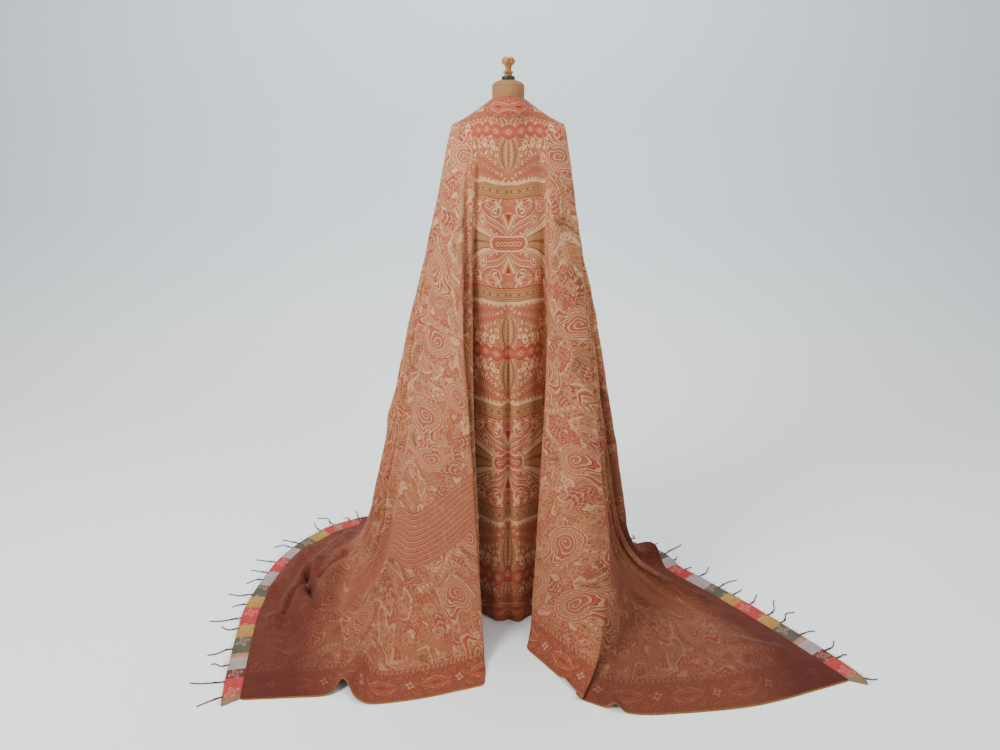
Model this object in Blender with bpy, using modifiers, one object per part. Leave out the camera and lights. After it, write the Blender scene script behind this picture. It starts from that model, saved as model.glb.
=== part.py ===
"""A long paisley shawl draped over an antique dress form.

The shawl is one woven sheet, 1.62 m by 3.60 m. Its top edge rests round the neck, it hangs from the two
shoulder tips in deep folds, and both ends spread on the floor as trains. Each fold's crest or valley is a
row of a table: where it starts on the shoulders, which point of the hem or of the fringed end it runs to,
and where it bends and lies. A smooth surface through those lines is the cloth, and each stretch of it is a
wall of its own. Metres, +Z up, the floor at z = 0, and the back of the form faces -Y.
"""

import math
from collections import namedtuple

import bmesh
import bpy
import numpy as np
from mathutils import Vector

# the sheet, flat
WIDTH = 1.62
HALF_LENGTH = 1.80
BAND = 0.05
SHEET_END = HALF_LENGTH - BAND
WALL = 0.0015
GAP = 0.0003

# where the sheet lies on the shoulders: flat point, then placed point, on the +X side
NECK_SIDE_FLAT = (0.080, 0.0)
SHOULDER_FLAT = (0.195, 0.075)
NECK_RADIUS = 0.0480
NECK_Y = 0.012
NECK_SIDE = Vector((NECK_RADIUS, NECK_Y, 1.595))
SHOULDER_TIP = Vector((0.160, 0.002, 1.524))
RIDGE_DIP = 0.006
NAPE_RISE = 0.008
RIDGE_BLEND = 0.3
BLADE_HEIGHT = 1.415

# how a fold line bends: over the shoulder as shares of the way to the blade, then as lengths along it
OVER_REACH = Vector((0.45, 0.80))
OVER_DROP = 0.12
ROUND_AT_BLADE = 0.16
ROUND_AT_KNEE = 0.30
FOLD_BIRTH = 0.14
HUMP_AT = 0.40
HUMP_WIDTH = 0.10

# how the surface is cut: a sharp fold gets a point at its tip, and the rows are closer on the shoulders
SHARP = 0.10
LARGEST_BEND = 0.42
BEND_AT_TOP = 0.20
ROWS = 22
ROW_CROWDING = 1.15
ROUTE_POINTS = 240

# the dress form
FORM_SIDES = 28
TURNED_SIDES = 20
POLE_Y = 0.025
POLE_RADIUS = 0.014

# the fringe: knotted tassels on a narrow heading
TASSEL_SPACING = 0.064
TASSEL_LENGTH = 0.075
TASSEL_HALF_WIDTH = 0.0022
TASSEL_STEPS = 4
CORNER_CLEARANCE = 0.0015
HEADING = 0.005
HEADING_HEIGHT = 0.0016
FRINGE_LIFT = 0.0004

# A fold line. start: -1 at the nape, 0 at the side of the neck, 1 at the shoulder tip, then back to 2 at
# the neck by the front. u, v: the flat point it ends at. blade, knee, end: where it leaves the back, meets
# the floor and ends. lift: height of knee and end. swell: how far it stands out midway. bend: how much cloth
# on each side turns there, small for a sharp fold. hump: how high the cloth bunches on its way over the floor.
Fold = namedtuple("Fold", "name start u v blade_x blade_y knee_x knee_y knee_lift end_x end_y end_lift"
                          " swell bend hump")
SOFT = 0.30

HEM = WIDTH
END = SHEET_END
RIGHT_FOLDS = [Fold(*row) for row in (
    ("centre",       -1.00, 0.000, HEM, 0.000, -0.112, 0.000, -0.103, 0, 0.006, -0.103, 0, 0.000, 0.02, 0),
    ("panel ridge",  -0.55, 0.035, HEM, 0.034, -0.114, 0.028, -0.124, 0, 0.034, -0.123, 0, 0.000, 0.09, 0),
    ("panel side",    0.00, 0.085, HEM, 0.073, -0.112, 0.060, -0.098, 0, 0.058, -0.094, 0, 0.000, 0.05, 0),
    ("pleat",         0.35, 0.360, HEM, 0.096, -0.109, 0.190, 0.005, 0, 0.190, 0.002, 0, -0.012, 0.02, 0),
    ("inner fold",    0.60, 0.670, HEM, 0.114, -0.105, 0.064, -0.190, 0, 0.051, -0.238, 0, 0.026, 0.02, 0),
    ("near face",     0.85, 0.800, HEM, 0.146, -0.084, 0.150, -0.250, 0, 0.122, -0.330, 0, 0.010, SOFT, 0),
    ("near side",     1.00, 0.910, HEM, 0.163, -0.062, 0.250, -0.275, 0, 0.178, -0.408, 0, 0.010, SOFT, 0),
    ("outer fold",    1.00, 0.960, HEM, 0.170, -0.045, 0.322, -0.210, 0.02, 0.205, -0.450, 0, 0.030, 0.02, 0),
    ("under fold",    1.00, 1.000, HEM, 0.174, -0.032, 0.250, -0.100, 0, 0.238, -0.458, 0, -0.030, 0.04, 0),
    ("train near",    1.00, 1.087, HEM, 0.177, -0.024, 0.310, -0.040, 0, 0.318, -0.501, 0, -0.016, SOFT, 0),
    ("train middle",  1.00, 1.275, HEM, 0.179, -0.014, 0.340, 0.030, 0, 0.506, -0.487, 0, -0.010, SOFT, 0),
    ("train far",     1.00, 1.450, HEM, 0.181, -0.006, 0.355, 0.070, 0, 0.680, -0.465, 0, -0.010, SOFT, 0),
    ("corner",        1.00, END, HEM, 0.182, 0.002, 0.365, 0.100, 0, 0.956, -0.372, 0, -0.010, 0.012, 0),
    ("end low",       1.00, END, 1.41, 0.182, 0.010, 0.375, 0.130, 0, 0.850, -0.205, 0, -0.010, SOFT, 0),
    ("end middle",    1.00, END, 1.11, 0.182, 0.018, 0.385, 0.155, 0, 0.668, 0.035, 0, -0.010, SOFT, 0),
    ("end high",      1.00, END, 0.94, 0.181, 0.026, 0.395, 0.180, 0, 0.562, 0.150, 0, -0.010, SOFT, 0),
    ("under side",    1.00, END, 0.86, 0.180, 0.030, 0.395, 0.190, 0, 0.552, 0.192, 0, -0.012, 0.03, 0),
    ("side ridge",    1.00, END, 0.78, 0.178, 0.040, 0.462, 0.205, 0, 0.530, 0.236, 0.07, -0.006, 0.05, 0),
    ("side valley",   1.00, END, 0.60, 0.174, 0.052, 0.360, 0.250, 0, 0.430, 0.300, 0, -0.010, 0.06, 0),
    ("front ridge",   1.00, END, 0.40, 0.165, 0.064, 0.305, 0.290, 0, 0.338, 0.385, 0, 0.010, 0.06, 0),
    ("front valley",  1.20, END, 0.24, 0.152, 0.078, 0.230, 0.250, 0, 0.252, 0.330, 0, -0.010, 0.06, 0),
    ("front fold",    1.50, END, 0.11, 0.132, 0.090, 0.176, 0.300, 0, 0.187, 0.390, 0, 0.010, 0.06, 0),
    ("front edge",    2.00, END, 0.00, 0.104, 0.098, 0.112, 0.275, 0, 0.116, 0.362, 0, 0.000, SOFT, 0),
)]
LEFT_FOLDS = [Fold(*row) for row in (
    ("centre",       -1.00, 0.000, HEM, 0.000, -0.112, 0.000, -0.103, 0, -0.006, -0.103, 0, 0.000, 0.02, 0),
    ("panel ridge",  -0.55, 0.040, HEM, 0.034, -0.114, 0.030, -0.126, 0, 0.020, -0.118, 0, 0.000, 0.09, 0),
    ("panel side",    0.00, 0.090, HEM, 0.073, -0.112, 0.056, -0.102, 0, 0.050, -0.098, 0, 0.000, 0.05, 0),
    ("back pleat",    0.18, 0.310, HEM, 0.087, -0.110, 0.205, 0.022, 0, 0.205, 0.020, 0, -0.012, 0.02, 0),
    ("hidden fold",   0.30, 0.540, HEM, 0.100, -0.109, 0.078, -0.140, 0, 0.078, -0.145, 0, 0.010, 0.02, 0),
    ("side pleat",    0.42, 0.760, HEM, 0.113, -0.106, 0.235, -0.090, 0, 0.205, -0.160, 0, -0.004, 0.02, 0),
    ("inner fold",    0.58, 0.975, HEM, 0.127, -0.101, 0.064, -0.225, 0, 0.060, -0.387, 0, 0.026, 0.02, 0),
    ("near face",     0.85, 1.185, HEM, 0.150, -0.080, 0.185, -0.230, 0, 0.240, -0.442, 0, 0.010, SOFT, 0),
    ("near side",     1.00, 1.353, HEM, 0.164, -0.058, 0.320, -0.175, 0, 0.406, -0.467, 0, 0.010, SOFT, 0),
    ("hem wave",      1.00, 1.450, HEM, 0.170, -0.044, 0.380, -0.125, 0, 0.455, -0.395, 0.045, 0.000, 0.04, 0),
    ("train near",    1.00, 1.500, HEM, 0.173, -0.035, 0.405, -0.095, 0, 0.482, -0.430, 0, 0.000, SOFT, 0),
    ("train far",     1.00, 1.610, HEM, 0.176, -0.026, 0.425, -0.055, 0, 0.590, -0.436, 0, 0.000, SOFT, 0),
    ("corner",        1.00, END, HEM, 0.178, -0.018, 0.440, -0.020, 0, 0.728, -0.444, 0, 0.000, 0.012, 0.020),
    ("end low",       1.00, END, 1.41, 0.180, -0.008, 0.465, 0.030, 0, 0.768, -0.238, 0, 0.000, SOFT, 0.045),
    ("end middle",    1.00, END, 1.20, 0.182, 0.002, 0.485, 0.090, 0, 0.799, -0.036, 0, 0.000, SOFT, 0.050),
    ("end high",      1.00, END, 0.954, 0.182, 0.014, 0.505, 0.160, 0, 0.774, 0.195, 0, 0.000, SOFT, 0.025),
    ("end turn",      1.00, END, 0.814, 0.181, 0.024, 0.505, 0.225, 0, 0.724, 0.310, 0, 0.000, SOFT, 0),
    ("end back",      1.00, END, 0.672, 0.179, 0.034, 0.495, 0.310, 0, 0.648, 0.409, 0, 0.000, SOFT, 0),
    ("side ridge",    1.00, END, 0.490, 0.175, 0.046, 0.450, 0.400, 0, 0.520, 0.485, 0, 0.000, 0.06, 0),
    ("front valley",  1.00, END, 0.330, 0.166, 0.060, 0.320, 0.330, 0, 0.375, 0.425, 0, -0.010, 0.06, 0),
    ("front ridge",   1.20, END, 0.190, 0.154, 0.076, 0.250, 0.370, 0, 0.278, 0.465, 0, 0.010, 0.06, 0),
    ("front fold",    1.50, END, 0.090, 0.134, 0.089, 0.188, 0.320, 0, 0.200, 0.412, 0, -0.010, 0.06, 0),
    ("front edge",    2.00, END, 0.000, 0.104, 0.098, 0.128, 0.345, 0, 0.133, 0.440, 0, 0.000, SOFT, 0),
)]
BAND_SMOOTHING = 12
FRINGE_SEED = 7

# The stretches of the sheet from the left front edge to the right one, each a wall of its own. A stretch
# starts at its first fold and runs to the next one; one with a train is parted where it meets the floor.
Piece = namedtuple("Piece", "name side first_fold train")
TRAIN_ROW = 15
PIECES = [Piece(*row) for row in (
    ("shawl_left_front",      -1, "front edge", None),
    ("shawl_left_side",       -1, "end back",   "shawl_left_train"),
    ("shawl_left_fall",       -1, "near side",  None),
    ("shawl_left_pleat",      -1, "side pleat", None),
    ("shawl_back_panel",      -1, "panel side", None),
    ("shawl_right_pleat",      1, "pleat",      None),
    ("shawl_right_fall",       1, "inner fold", None),
    ("shawl_right_side",       1, "under fold", "shawl_right_train"),
    ("shawl_right_side_fold",  1, "side ridge", None),
    ("shawl_right_front",      1, "side valley", None),
)]

# The padded body, from the hips to the dome of the neck
Section = namedtuple("Section", "height half_width back front")
FORM_SECTIONS = [Section(*row) for row in (
    (0.800, 0.1600, -0.0900, 0.1000),
    (0.880, 0.1650, -0.0950, 0.1050),
    (1.000, 0.1500, -0.0850, 0.1000),
    (1.120, 0.1150, -0.0650, 0.0850),
    (1.250, 0.1400, -0.0850, 0.1150),
    (1.330, 0.1500, -0.0900, 0.1180),
    (1.415, 0.1550, -0.0880, 0.0950),
    (1.470, 0.1520, -0.0680, 0.0760),
    (1.500, 0.1480, -0.0450, 0.0540),
    (1.522, 0.1400, -0.0320, 0.0430),
    (1.537, 0.1190, -0.0290, 0.0450),
    (1.557, 0.0830, -0.0290, 0.0520),
    (1.575, 0.0560, -0.0320, 0.0560),
    (1.588, 0.0465, -0.0345, 0.0585),
    (1.630, 0.0465, -0.0345, 0.0585),
    (1.640, 0.0410, -0.0290, 0.0530),
    (1.646, 0.0310, -0.0190, 0.0430),
    (1.649, 0.0195, -0.0075, 0.0315),
)]

# Turned pieces, as radius and height, top to bottom
CAP_PROFILE = [(0, 1.6590), (0.0180, 1.6590), (0.0192, 1.6575), (0.0192, 1.6503), (0.0185, 1.6493), (0, 1.6493)]
FINIAL_PROFILE = [
    (0, 1.7160), (0.0080, 1.7145), (0.0150, 1.7100), (0.0188, 1.7040), (0.0195, 1.6990), (0.0175, 1.6935),
    (0.0118, 1.6890), (0.0098, 1.6845), (0.0088, 1.6800), (0.0100, 1.6745), (0.0142, 1.6715), (0.0142, 1.6685),
    (0.0110, 1.6650), (0.0110, 1.6593), (0, 1.6593)]
POLE_PROFILE = [(0, 0.7997), (0.0300, 0.7997), (0.0300, 0.7850), (POLE_RADIUS, 0.7750), (POLE_RADIUS, 0.0400),
                (0.0240, 0.0330), (0.0240, 0.0243), (0, 0.0243)]
BASE_PROFILE = [(0, 0.0240), (0.0500, 0.0225), (0.0900, 0.0180), (0.1120, 0.0130), (0.1220, 0.0080),
                (0.1220, 0), (0, 0)]


def start_of(place, side):
    """The placed point and the flat point that a fold line starts from."""
    if place <= 0:
        share = 1 + place
        turn = share * math.pi / 2
        flat = Vector((NECK_SIDE_FLAT[0] * share, 0))
        x = NECK_RADIUS * math.sin(turn)
        y = NECK_SIDE.y - NECK_RADIUS * math.cos(turn)
        point = Vector((x, y, NECK_SIDE.z + NAPE_RISE * (1 - share)))
    else:
        share = place if place <= 1 else 2 - place
        flat = Vector(NECK_SIDE_FLAT).lerp(Vector(SHOULDER_FLAT), share)
        point = NECK_SIDE.lerp(SHOULDER_TIP, share)
        point.z -= RIDGE_DIP * math.sin(math.pi * share)
    point.x *= side
    return point, (side * flat.x, flat.y)


def straight(a, b, count):
    return [a.lerp(b, i / count) for i in range(count)]


def rounded(a, corner, b, count):
    """A parabola from a to b that a corner pulls, for a smooth bend."""
    return [a.lerp(corner, i / count).lerp(corner.lerp(b, i / count), i / count) for i in range(count)]


def evenly(points, count):
    """The same line, cut into points an equal length apart."""
    line = np.array(points)
    run = np.concatenate([[0], np.cumsum(np.linalg.norm(np.diff(line, axis=0), axis=1))])
    wanted = np.linspace(0, run[-1], count)
    return np.stack([np.interp(wanted, run, line[:, axis]) for axis in range(3)], axis=1)


def route(fold, side):
    """A fold line in place, over the shoulder, down, round its knee and along the floor: x, y, z, u, v, bend."""
    start, flat_start = start_of(fold.start, side)
    blade = Vector((side * fold.blade_x, fold.blade_y, BLADE_HEIGHT))
    knee = Vector((side * fold.knee_x, fold.knee_y, fold.knee_lift))
    end = Vector((side * fold.end_x, fold.end_y, fold.end_lift))
    down = (knee - blade).normalized()
    along = (end - knee).normalized()
    run = (end - knee).length
    knee_bend = min(ROUND_AT_KNEE, 1.6 * run + 0.02)
    floor_bend = min(0.9 * run, 0.8 * knee_bend)
    over = start + (blade - start) * Vector((*OVER_REACH, OVER_DROP))
    falls = blade + down * ROUND_AT_BLADE
    bends = knee - down * knee_bend
    lies = knee + along * floor_bend
    points = rounded(start, over, falls, 60) + straight(falls, bends, 80)
    points += rounded(bends, knee, lies, 60) + straight(lies, end, 60) + [end]
    line = evenly(points, ROUTE_POINTS)
    fallen = np.clip((BLADE_HEIGHT - line[:, 2]) / BLADE_HEIGHT, 0, 1)
    born = 1 - np.exp(-fallen / FOLD_BIRTH)
    swell = fold.swell * (1 - fallen) * born
    outward = np.array((blade.x, blade.y)) / math.hypot(blade.x, blade.y)
    line[:, :2] += swell[:, None] * outward
    top = knee.lerp(end, HUMP_AT)
    away = np.linalg.norm(line[:, :2] - (top.x, top.y), axis=1)
    line[:, 2] += fold.hump * np.exp(-(away / HUMP_WIDTH) ** 2)
    flat = np.linspace(flat_start, (side * fold.u, fold.v), ROUTE_POINTS)
    return np.column_stack([line, flat, fold.bend + BEND_AT_TOP * (1 - born)])


def all_folds():
    """The fold lines from the left front edge round the back to the right one, with their sides."""
    return [(fold, -1) for fold in reversed(LEFT_FOLDS[1:])] + [(fold, 1) for fold in RIGHT_FOLDS]


def first_columns():
    """The first column of each fold line: a sharp fold has three, a soft one two, and an edge one."""
    firsts = [0]
    for fold, side in all_folds()[:-1]:
        columns = 3 if fold.bend < SHARP else 2
        firsts.append(firsts[-1] + (1 if len(firsts) == 1 else columns))
    return firsts


def drape(rows):
    """The sheet, points[column][row] of x, y, z, u, v, and the place on the shoulders where each column starts."""
    folds = all_folds()
    picked = (ROUTE_POINTS - 1) * np.linspace(0, 1, rows) ** ROW_CROWDING
    whole = np.arange(ROUTE_POINTS)
    lines = [np.array([np.interp(picked, whole, value) for value in route(fold, side).T]).T for fold, side in folds]
    columns = [lines[0][:, :5]]
    starts = [folds[0][0].start]
    for (before, line, after), (fold_before, fold, fold_after) in zip(
            zip(lines, lines[1:], lines[2:]), zip(*[[fold for fold, side in folds[i:]] for i in range(3)])):
        corner = line[:, :5]
        turned_at = []
        for other, other_fold in ((before, fold_before), (after, fold_after)):
            way = other[:, :5] - corner
            length = np.maximum(np.linalg.norm(way[:, :3], axis=1), 1e-6)
            share = np.minimum(line[:, 5] / length, LARGEST_BEND)
            turned_at.append((corner + way * share[:, None], fold.start + (other_fold.start - fold.start) * share[0]))
        (near, near_start), (far, far_start) = turned_at
        columns.append(near)
        starts.append(near_start)
        if fold.bend < SHARP:
            columns.append((near + 2 * corner + far) / 4)
            starts.append(fold.start)
        columns.append(far)
        starts.append(far_start)
    columns.append(lines[-1][:, :5])
    starts.append(folds[-1][0].start)
    points = np.array(columns)
    points[:, :, 2] = np.maximum(points[:, :, 2], 0)
    starts = np.array(starts)
    for i, start in enumerate(starts):
        placed, flat = start_of(start, 1 if points[i, 1, 0] > 0 else -1)
        points[i, 0] = (*placed, *flat)
    return points, starts


def corner_columns():
    """The columns of the two hem corners, left and right."""
    names = [(fold.name, side) for fold, side in all_folds()]
    return [first_columns()[names.index(("corner", side))] + 1 for side in (-1, 1)]


def facing(points, starts):
    """The outward direction at each point of the sheet, the same for both walls that meet at a seam."""
    steps = np.diff(points, axis=0)
    steps /= np.maximum(np.linalg.norm(steps, axis=2, keepdims=True), 1e-9)
    across = np.concatenate([steps[:1], steps[:-1] + steps[1:], steps[-1:]])
    down = np.gradient(points, axis=1)
    normal = np.cross(down, across)
    normal /= np.maximum(np.linalg.norm(normal, axis=2, keepdims=True), 1e-9)
    ridge = (SHOULDER_TIP - NECK_SIDE).normalized()
    side = np.sign(points[:, 1, 0])
    up = np.stack([-ridge.z * side, 0 * side, np.full(len(side), ridge.x)], axis=1)
    on_ridge = np.clip(starts / RIDGE_BLEND, 0, 1)[:, None]
    normal[:, 0] = normal[:, 0] * (1 - on_ridge) + up * on_ridge
    normal[:, 0] /= np.linalg.norm(normal[:, 0], axis=1, keepdims=True)
    left, right = corner_columns()
    normal[:left + 1, -1] = (0, 0, 1)
    normal[right:, -1] = (0, 0, 1)
    return normal


def toward(a, b):
    gap = b - a
    return gap / np.maximum(np.linalg.norm(gap, axis=-1, keepdims=True), 1e-9) * GAP / 2


def new_object(name, mesh_data, colour):
    mesh = bpy.data.meshes.new(name)
    mesh_data.to_mesh(mesh)
    mesh_data.free()
    mesh.materials.append(colour)
    piece = bpy.data.objects.new(name, mesh)
    model.objects.link(piece)
    mesh.shade_smooth()
    mesh.set_sharp_from_angle(angle=math.radians(50))
    return piece


def wall(name, inner, outer, flat, colour):
    """A closed wall between two grids of points, with a map of where each lies on the flat cloth."""
    shape = bmesh.new()
    layers = [[[shape.verts.new(point) for point in column] for column in grid] for grid in (inner, outer)]
    flat_of = {layer[i][j]: point for layer in layers for i, column in enumerate(flat)
               for j, point in enumerate(column)}
    columns = len(inner)
    rows = len(inner[0])
    for i in range(columns - 1):
        for j in range(rows - 1):
            cell = [(i, j), (i, j + 1), (i + 1, j + 1), (i + 1, j)]
            a, b, c, d = [Vector(inner[k][l]) for k, l in cell]
            if (a - c).length > (b - d).length:
                cell = cell[1:] + cell[:1]
            for grid in layers:
                corner = [grid[k][l] for k, l in cell]
                if grid is layers[0]:
                    corner.reverse()
                    corner = corner[1:] + corner[:1]
                shape.faces.new((corner[0], corner[1], corner[2]))
                shape.faces.new((corner[0], corner[2], corner[3]))
    border = [(i, 0) for i in range(columns - 1)] + [(columns - 1, j) for j in range(rows - 1)]
    border += [(i, rows - 1) for i in range(columns - 1, 0, -1)] + [(0, j) for j in range(rows - 1, 0, -1)]
    for (i, j), (k, l) in zip(border, border[1:] + border[:1]):
        shape.faces.new((layers[0][i][j], layers[0][k][l], layers[1][k][l], layers[1][i][j]))
    bmesh.ops.remove_doubles(shape, verts=shape.verts, dist=1e-6)
    bmesh.ops.triangulate(shape, faces=shape.faces)
    bmesh.ops.recalc_face_normals(shape, faces=shape.faces)
    flat_map = shape.loops.layers.uv.new("flat cloth")
    for face in shape.faces:
        for loop in face.loops:
            loop[flat_map].uv = flat_of[loop.vert]
    return new_object(name, shape, colour)


def cloth_piece(name, sheet, normal, flat, starts, columns, rows, colour):
    """One stretch of the sheet, drawn in half a gap along each edge."""
    first, last = columns
    top, bottom = rows
    inner = sheet[first:last + 1, top:bottom + 1].copy()
    direction = normal[first:last + 1, top:bottom + 1]
    whole = inner.copy()
    inner[0] += toward(whole[0], whole[1])
    inner[-1] += toward(whole[-1], whole[-2])
    inner[:, 0] += toward(whole[:, 0], whole[:, 1])
    inner[:, -1] += toward(whole[:, -1], whole[:, -2])
    outer = inner + direction * WALL
    if top == 0:
        fan = starts[first:last + 1] == 1
        if fan.any():
            inner[fan, 0] = inner[fan, 0].mean(axis=0)
            outer[fan, 0] = outer[fan, 0].mean(axis=0)
    inner[:, :, 2] = np.maximum(inner[:, :, 2], 0)
    outer[:, :, 2] = np.maximum(outer[:, :, 2], 0)
    return wall(name, inner.tolist(), outer.tolist(), flat[first:last + 1, top:bottom + 1].tolist(), colour)


def end_edge(sheet, side):
    """The sheet's fringed end on the floor, from the hem corner to the front, and its outward direction."""
    left, right = corner_columns()
    edge = sheet[right:, -1] if side > 0 else sheet[left::-1, -1]
    along = np.gradient(edge, axis=0)
    outward = np.stack([along[:, 1], -along[:, 0], 0 * along[:, 0]], axis=1) * side
    outward /= np.linalg.norm(outward, axis=1, keepdims=True)
    for i in range(BAND_SMOOTHING):
        outward[1:-1] = (outward[:-2] + 2 * outward[1:-1] + outward[2:]) / 4
    return edge, outward / np.linalg.norm(outward, axis=1, keepdims=True)


def end_band(name, edge, outward, colour):
    """The harlequin band past the end, flat on the floor."""
    reach = [GAP / 2, BAND / 2, BAND]
    lower = [[point + out * width for width in reach] for point, out in zip(edge, outward)]
    upper = [[point + (0, 0, WALL) for point in column] for column in lower]
    run = np.concatenate([[0], np.cumsum(np.linalg.norm(np.diff(edge, axis=0), axis=1))])
    flat = [[(SHEET_END + width, along) for width in reach] for along in run]
    return wall(name, lower, upper, flat, colour)


def stations_along(edge, outward, spacing, dice):
    """Points along the band's rim with their outward directions, and whether a tassel grows past each."""
    rim = edge + outward * (BAND + GAP)
    run = np.concatenate([[0], np.cumsum(np.linalg.norm(np.diff(rim, axis=0), axis=1))])
    count = int(run[-1] / spacing)
    places = (np.arange(count) + 0.5 + dice.uniform(-0.32, 0.32, count)) * run[-1] / count
    marks = [(along, False) for along in run]
    for place in places:
        corner = run[np.argmin(np.abs(run - place))]
        clear = max(abs(place - corner), TASSEL_HALF_WIDTH + CORNER_CLEARANCE)
        place = corner + math.copysign(clear, place - corner)
        marks += [(place - TASSEL_HALF_WIDTH, True), (place + TASSEL_HALF_WIDTH, False)]
    marks.sort()
    at = [along for along, grows in marks]
    points, directions = [np.stack([np.interp(at, run, line[:, axis]) for axis in range(3)], 1)
                          for line in (rim, outward)]
    return list(zip(points, directions, [grows for along, grows in marks]))


def tassel_rings(left, right, outward, dice):
    """Four-cornered rings along one tassel, which curls as it lies on the floor."""
    out = Vector(outward).normalized()
    across = (right - left).normalized()
    root = (left + right) / 2
    length = TASSEL_LENGTH * dice.uniform(0.35, 1.45)
    sway = dice.uniform(-0.024, 0.024)
    curl = dice.uniform(-0.014, 0.014)
    turns = dice.uniform(0.6, 1.3)
    middle = [root + out * length * i / TASSEL_STEPS for i in range(TASSEL_STEPS + 1)]
    for i, point in enumerate(middle):
        share = i / TASSEL_STEPS
        point += across * (sway * share * share + curl * math.sin(2 * math.pi * turns * share) * share)
        point.z *= (1 - share) ** 2
    rings = []
    for i in range(1, TASSEL_STEPS + 1):
        share = i / TASSEL_STEPS
        ahead = (middle[i] - middle[i - 1]).normalized()
        wide = Vector((-ahead.y, ahead.x, 0)) * TASSEL_HALF_WIDTH * (1 - 0.6 * share)
        if wide.dot(across) < 0:
            wide = -wide
        low = Vector((0, 0, FRINGE_LIFT + 0.0002))
        high = Vector((0, 0, FRINGE_LIFT + HEADING_HEIGHT * (1.9 - 1.2 * share)))
        rings.append([middle[i] + offset for offset in (-wide + low, -wide + high, wide + high, wide + low)])
    return rings


def fringe(name, stations, dice, colour):
    """A narrow heading on the floor with its tassels grown from its outer side."""
    shape = bmesh.new()
    low = Vector((0, 0, FRINGE_LIFT))
    high = Vector((0, 0, FRINGE_LIFT + HEADING_HEIGHT))
    rows = []
    for point, out, grows in stations:
        near = Vector(point)
        far = near + Vector(out).normalized() * HEADING
        rows.append([shape.verts.new(place) for place in (near + low, near + high, far + high, far + low)])
    for i, (a, b) in enumerate(zip(rows, rows[1:])):
        for j in (0, 1, 3):
            k = (j + 1) % 4
            shape.faces.new((a[j], a[k], b[k], b[j]))
        ring = [a[3], a[2], b[2], b[3]]
        if not stations[i][2]:
            shape.faces.new(ring)
            continue
        for corners in tassel_rings(a[3].co - low, b[3].co - low, stations[i][1], dice):
            tip = [shape.verts.new(corner) for corner in corners]
            for j in range(4):
                k = (j + 1) % 4
                shape.faces.new((ring[j], ring[k], tip[k], tip[j]))
            ring = tip
        shape.faces.new(ring)
    shape.faces.new(rows[0])
    shape.faces.new(rows[-1])
    bmesh.ops.triangulate(shape, faces=shape.faces)
    bmesh.ops.recalc_face_normals(shape, faces=shape.faces)
    return new_object(name, shape, colour)


def form_body(name, colour):
    """The padded body and neck: oval sections, joined from the hips to the dome under the cap."""
    shape = bmesh.new()
    rings = []
    for section in FORM_SECTIONS:
        middle = (section.front + section.back) / 2
        depth = (section.front - section.back) / 2
        ring = []
        for i in range(FORM_SIDES):
            turn = 2 * math.pi * i / FORM_SIDES
            ring.append(shape.verts.new((section.half_width * math.cos(turn), middle + depth * math.sin(turn),
                                         section.height)))
        rings.append(ring)
    for below, above in zip(rings, rings[1:]):
        for i in range(FORM_SIDES):
            j = (i + 1) % FORM_SIDES
            shape.faces.new((below[i], below[j], above[j], above[i]))
    shape.faces.new(rings[0][::-1])
    shape.faces.new(rings[-1])
    bmesh.ops.triangulate(shape, faces=shape.faces)
    bmesh.ops.recalc_face_normals(shape, faces=shape.faces)
    return new_object(name, shape, colour)


def turned(name, profile, y, colour):
    """A piece turned on a lathe, from its profile of radius and height, top to bottom."""
    mesh = bpy.data.meshes.new(name)
    points = [(radius, 0, height) for radius, height in profile]
    mesh.from_pydata(points, [(i, i + 1) for i in range(len(points) - 1)], [])
    mesh.materials.append(colour)
    piece = bpy.data.objects.new(name, mesh)
    piece.location.y = y
    model.objects.link(piece)
    spin = piece.modifiers.new("turn", "SCREW")
    spin.steps = TURNED_SIDES
    spin.render_steps = TURNED_SIDES
    spin.use_merge_vertices = True
    spin.merge_threshold = 0.00005
    spin.use_smooth_shade = True
    return piece


def finish(name, colour, roughness, metallic=0.0):
    material = bpy.data.materials.new(name)
    material.use_nodes = True
    shader = material.node_tree.nodes["Principled BSDF"]
    shader.inputs["Base Color"].default_value = (*colour, 1)
    shader.inputs["Roughness"].default_value = roughness
    shader.inputs["Metallic"].default_value = metallic
    material.diffuse_color = (*colour, 1)
    return material


for leftover in list(bpy.data.objects):
    bpy.data.objects.remove(leftover, do_unlink=True)
model = bpy.data.collections.new("Paisley shawl on a dress form")
bpy.context.scene.collection.children.link(model)

paisley = finish("paisley wool", (0.36, 0.13, 0.09), 0.85)
harlequin = finish("harlequin band", (0.45, 0.10, 0.07), 0.85)
wool_fringe = finish("dark wool fringe", (0.05, 0.045, 0.035), 0.9)
linen = finish("tan linen", (0.45, 0.26, 0.13), 0.8)
walnut = finish("turned wood", (0.38, 0.13, 0.03), 0.35)
black_cap = finish("black cap", (0.04, 0.025, 0.02), 0.5)
iron = finish("black iron", (0.03, 0.03, 0.03), 0.45, 1.0)

drawn, starts = drape(ROWS)
sheet = drawn[:, :, :3]
flat = drawn[:, :, 3:]
outward_all = facing(sheet, starts)
names = [(fold.name, side) for fold, side in all_folds()]
borders = [first_columns()[names.index((piece.first_fold, piece.side))] for piece in PIECES] + [len(sheet) - 1]
for piece, columns in zip(PIECES, zip(borders, borders[1:])):
    foot = TRAIN_ROW if piece.train else ROWS - 1
    cloth_piece(piece.name, sheet, outward_all, flat, starts, columns, (0, foot), paisley)
    if piece.train:
        cloth_piece(piece.train, sheet, outward_all, flat, starts, columns, (foot, ROWS - 1), paisley)

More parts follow.
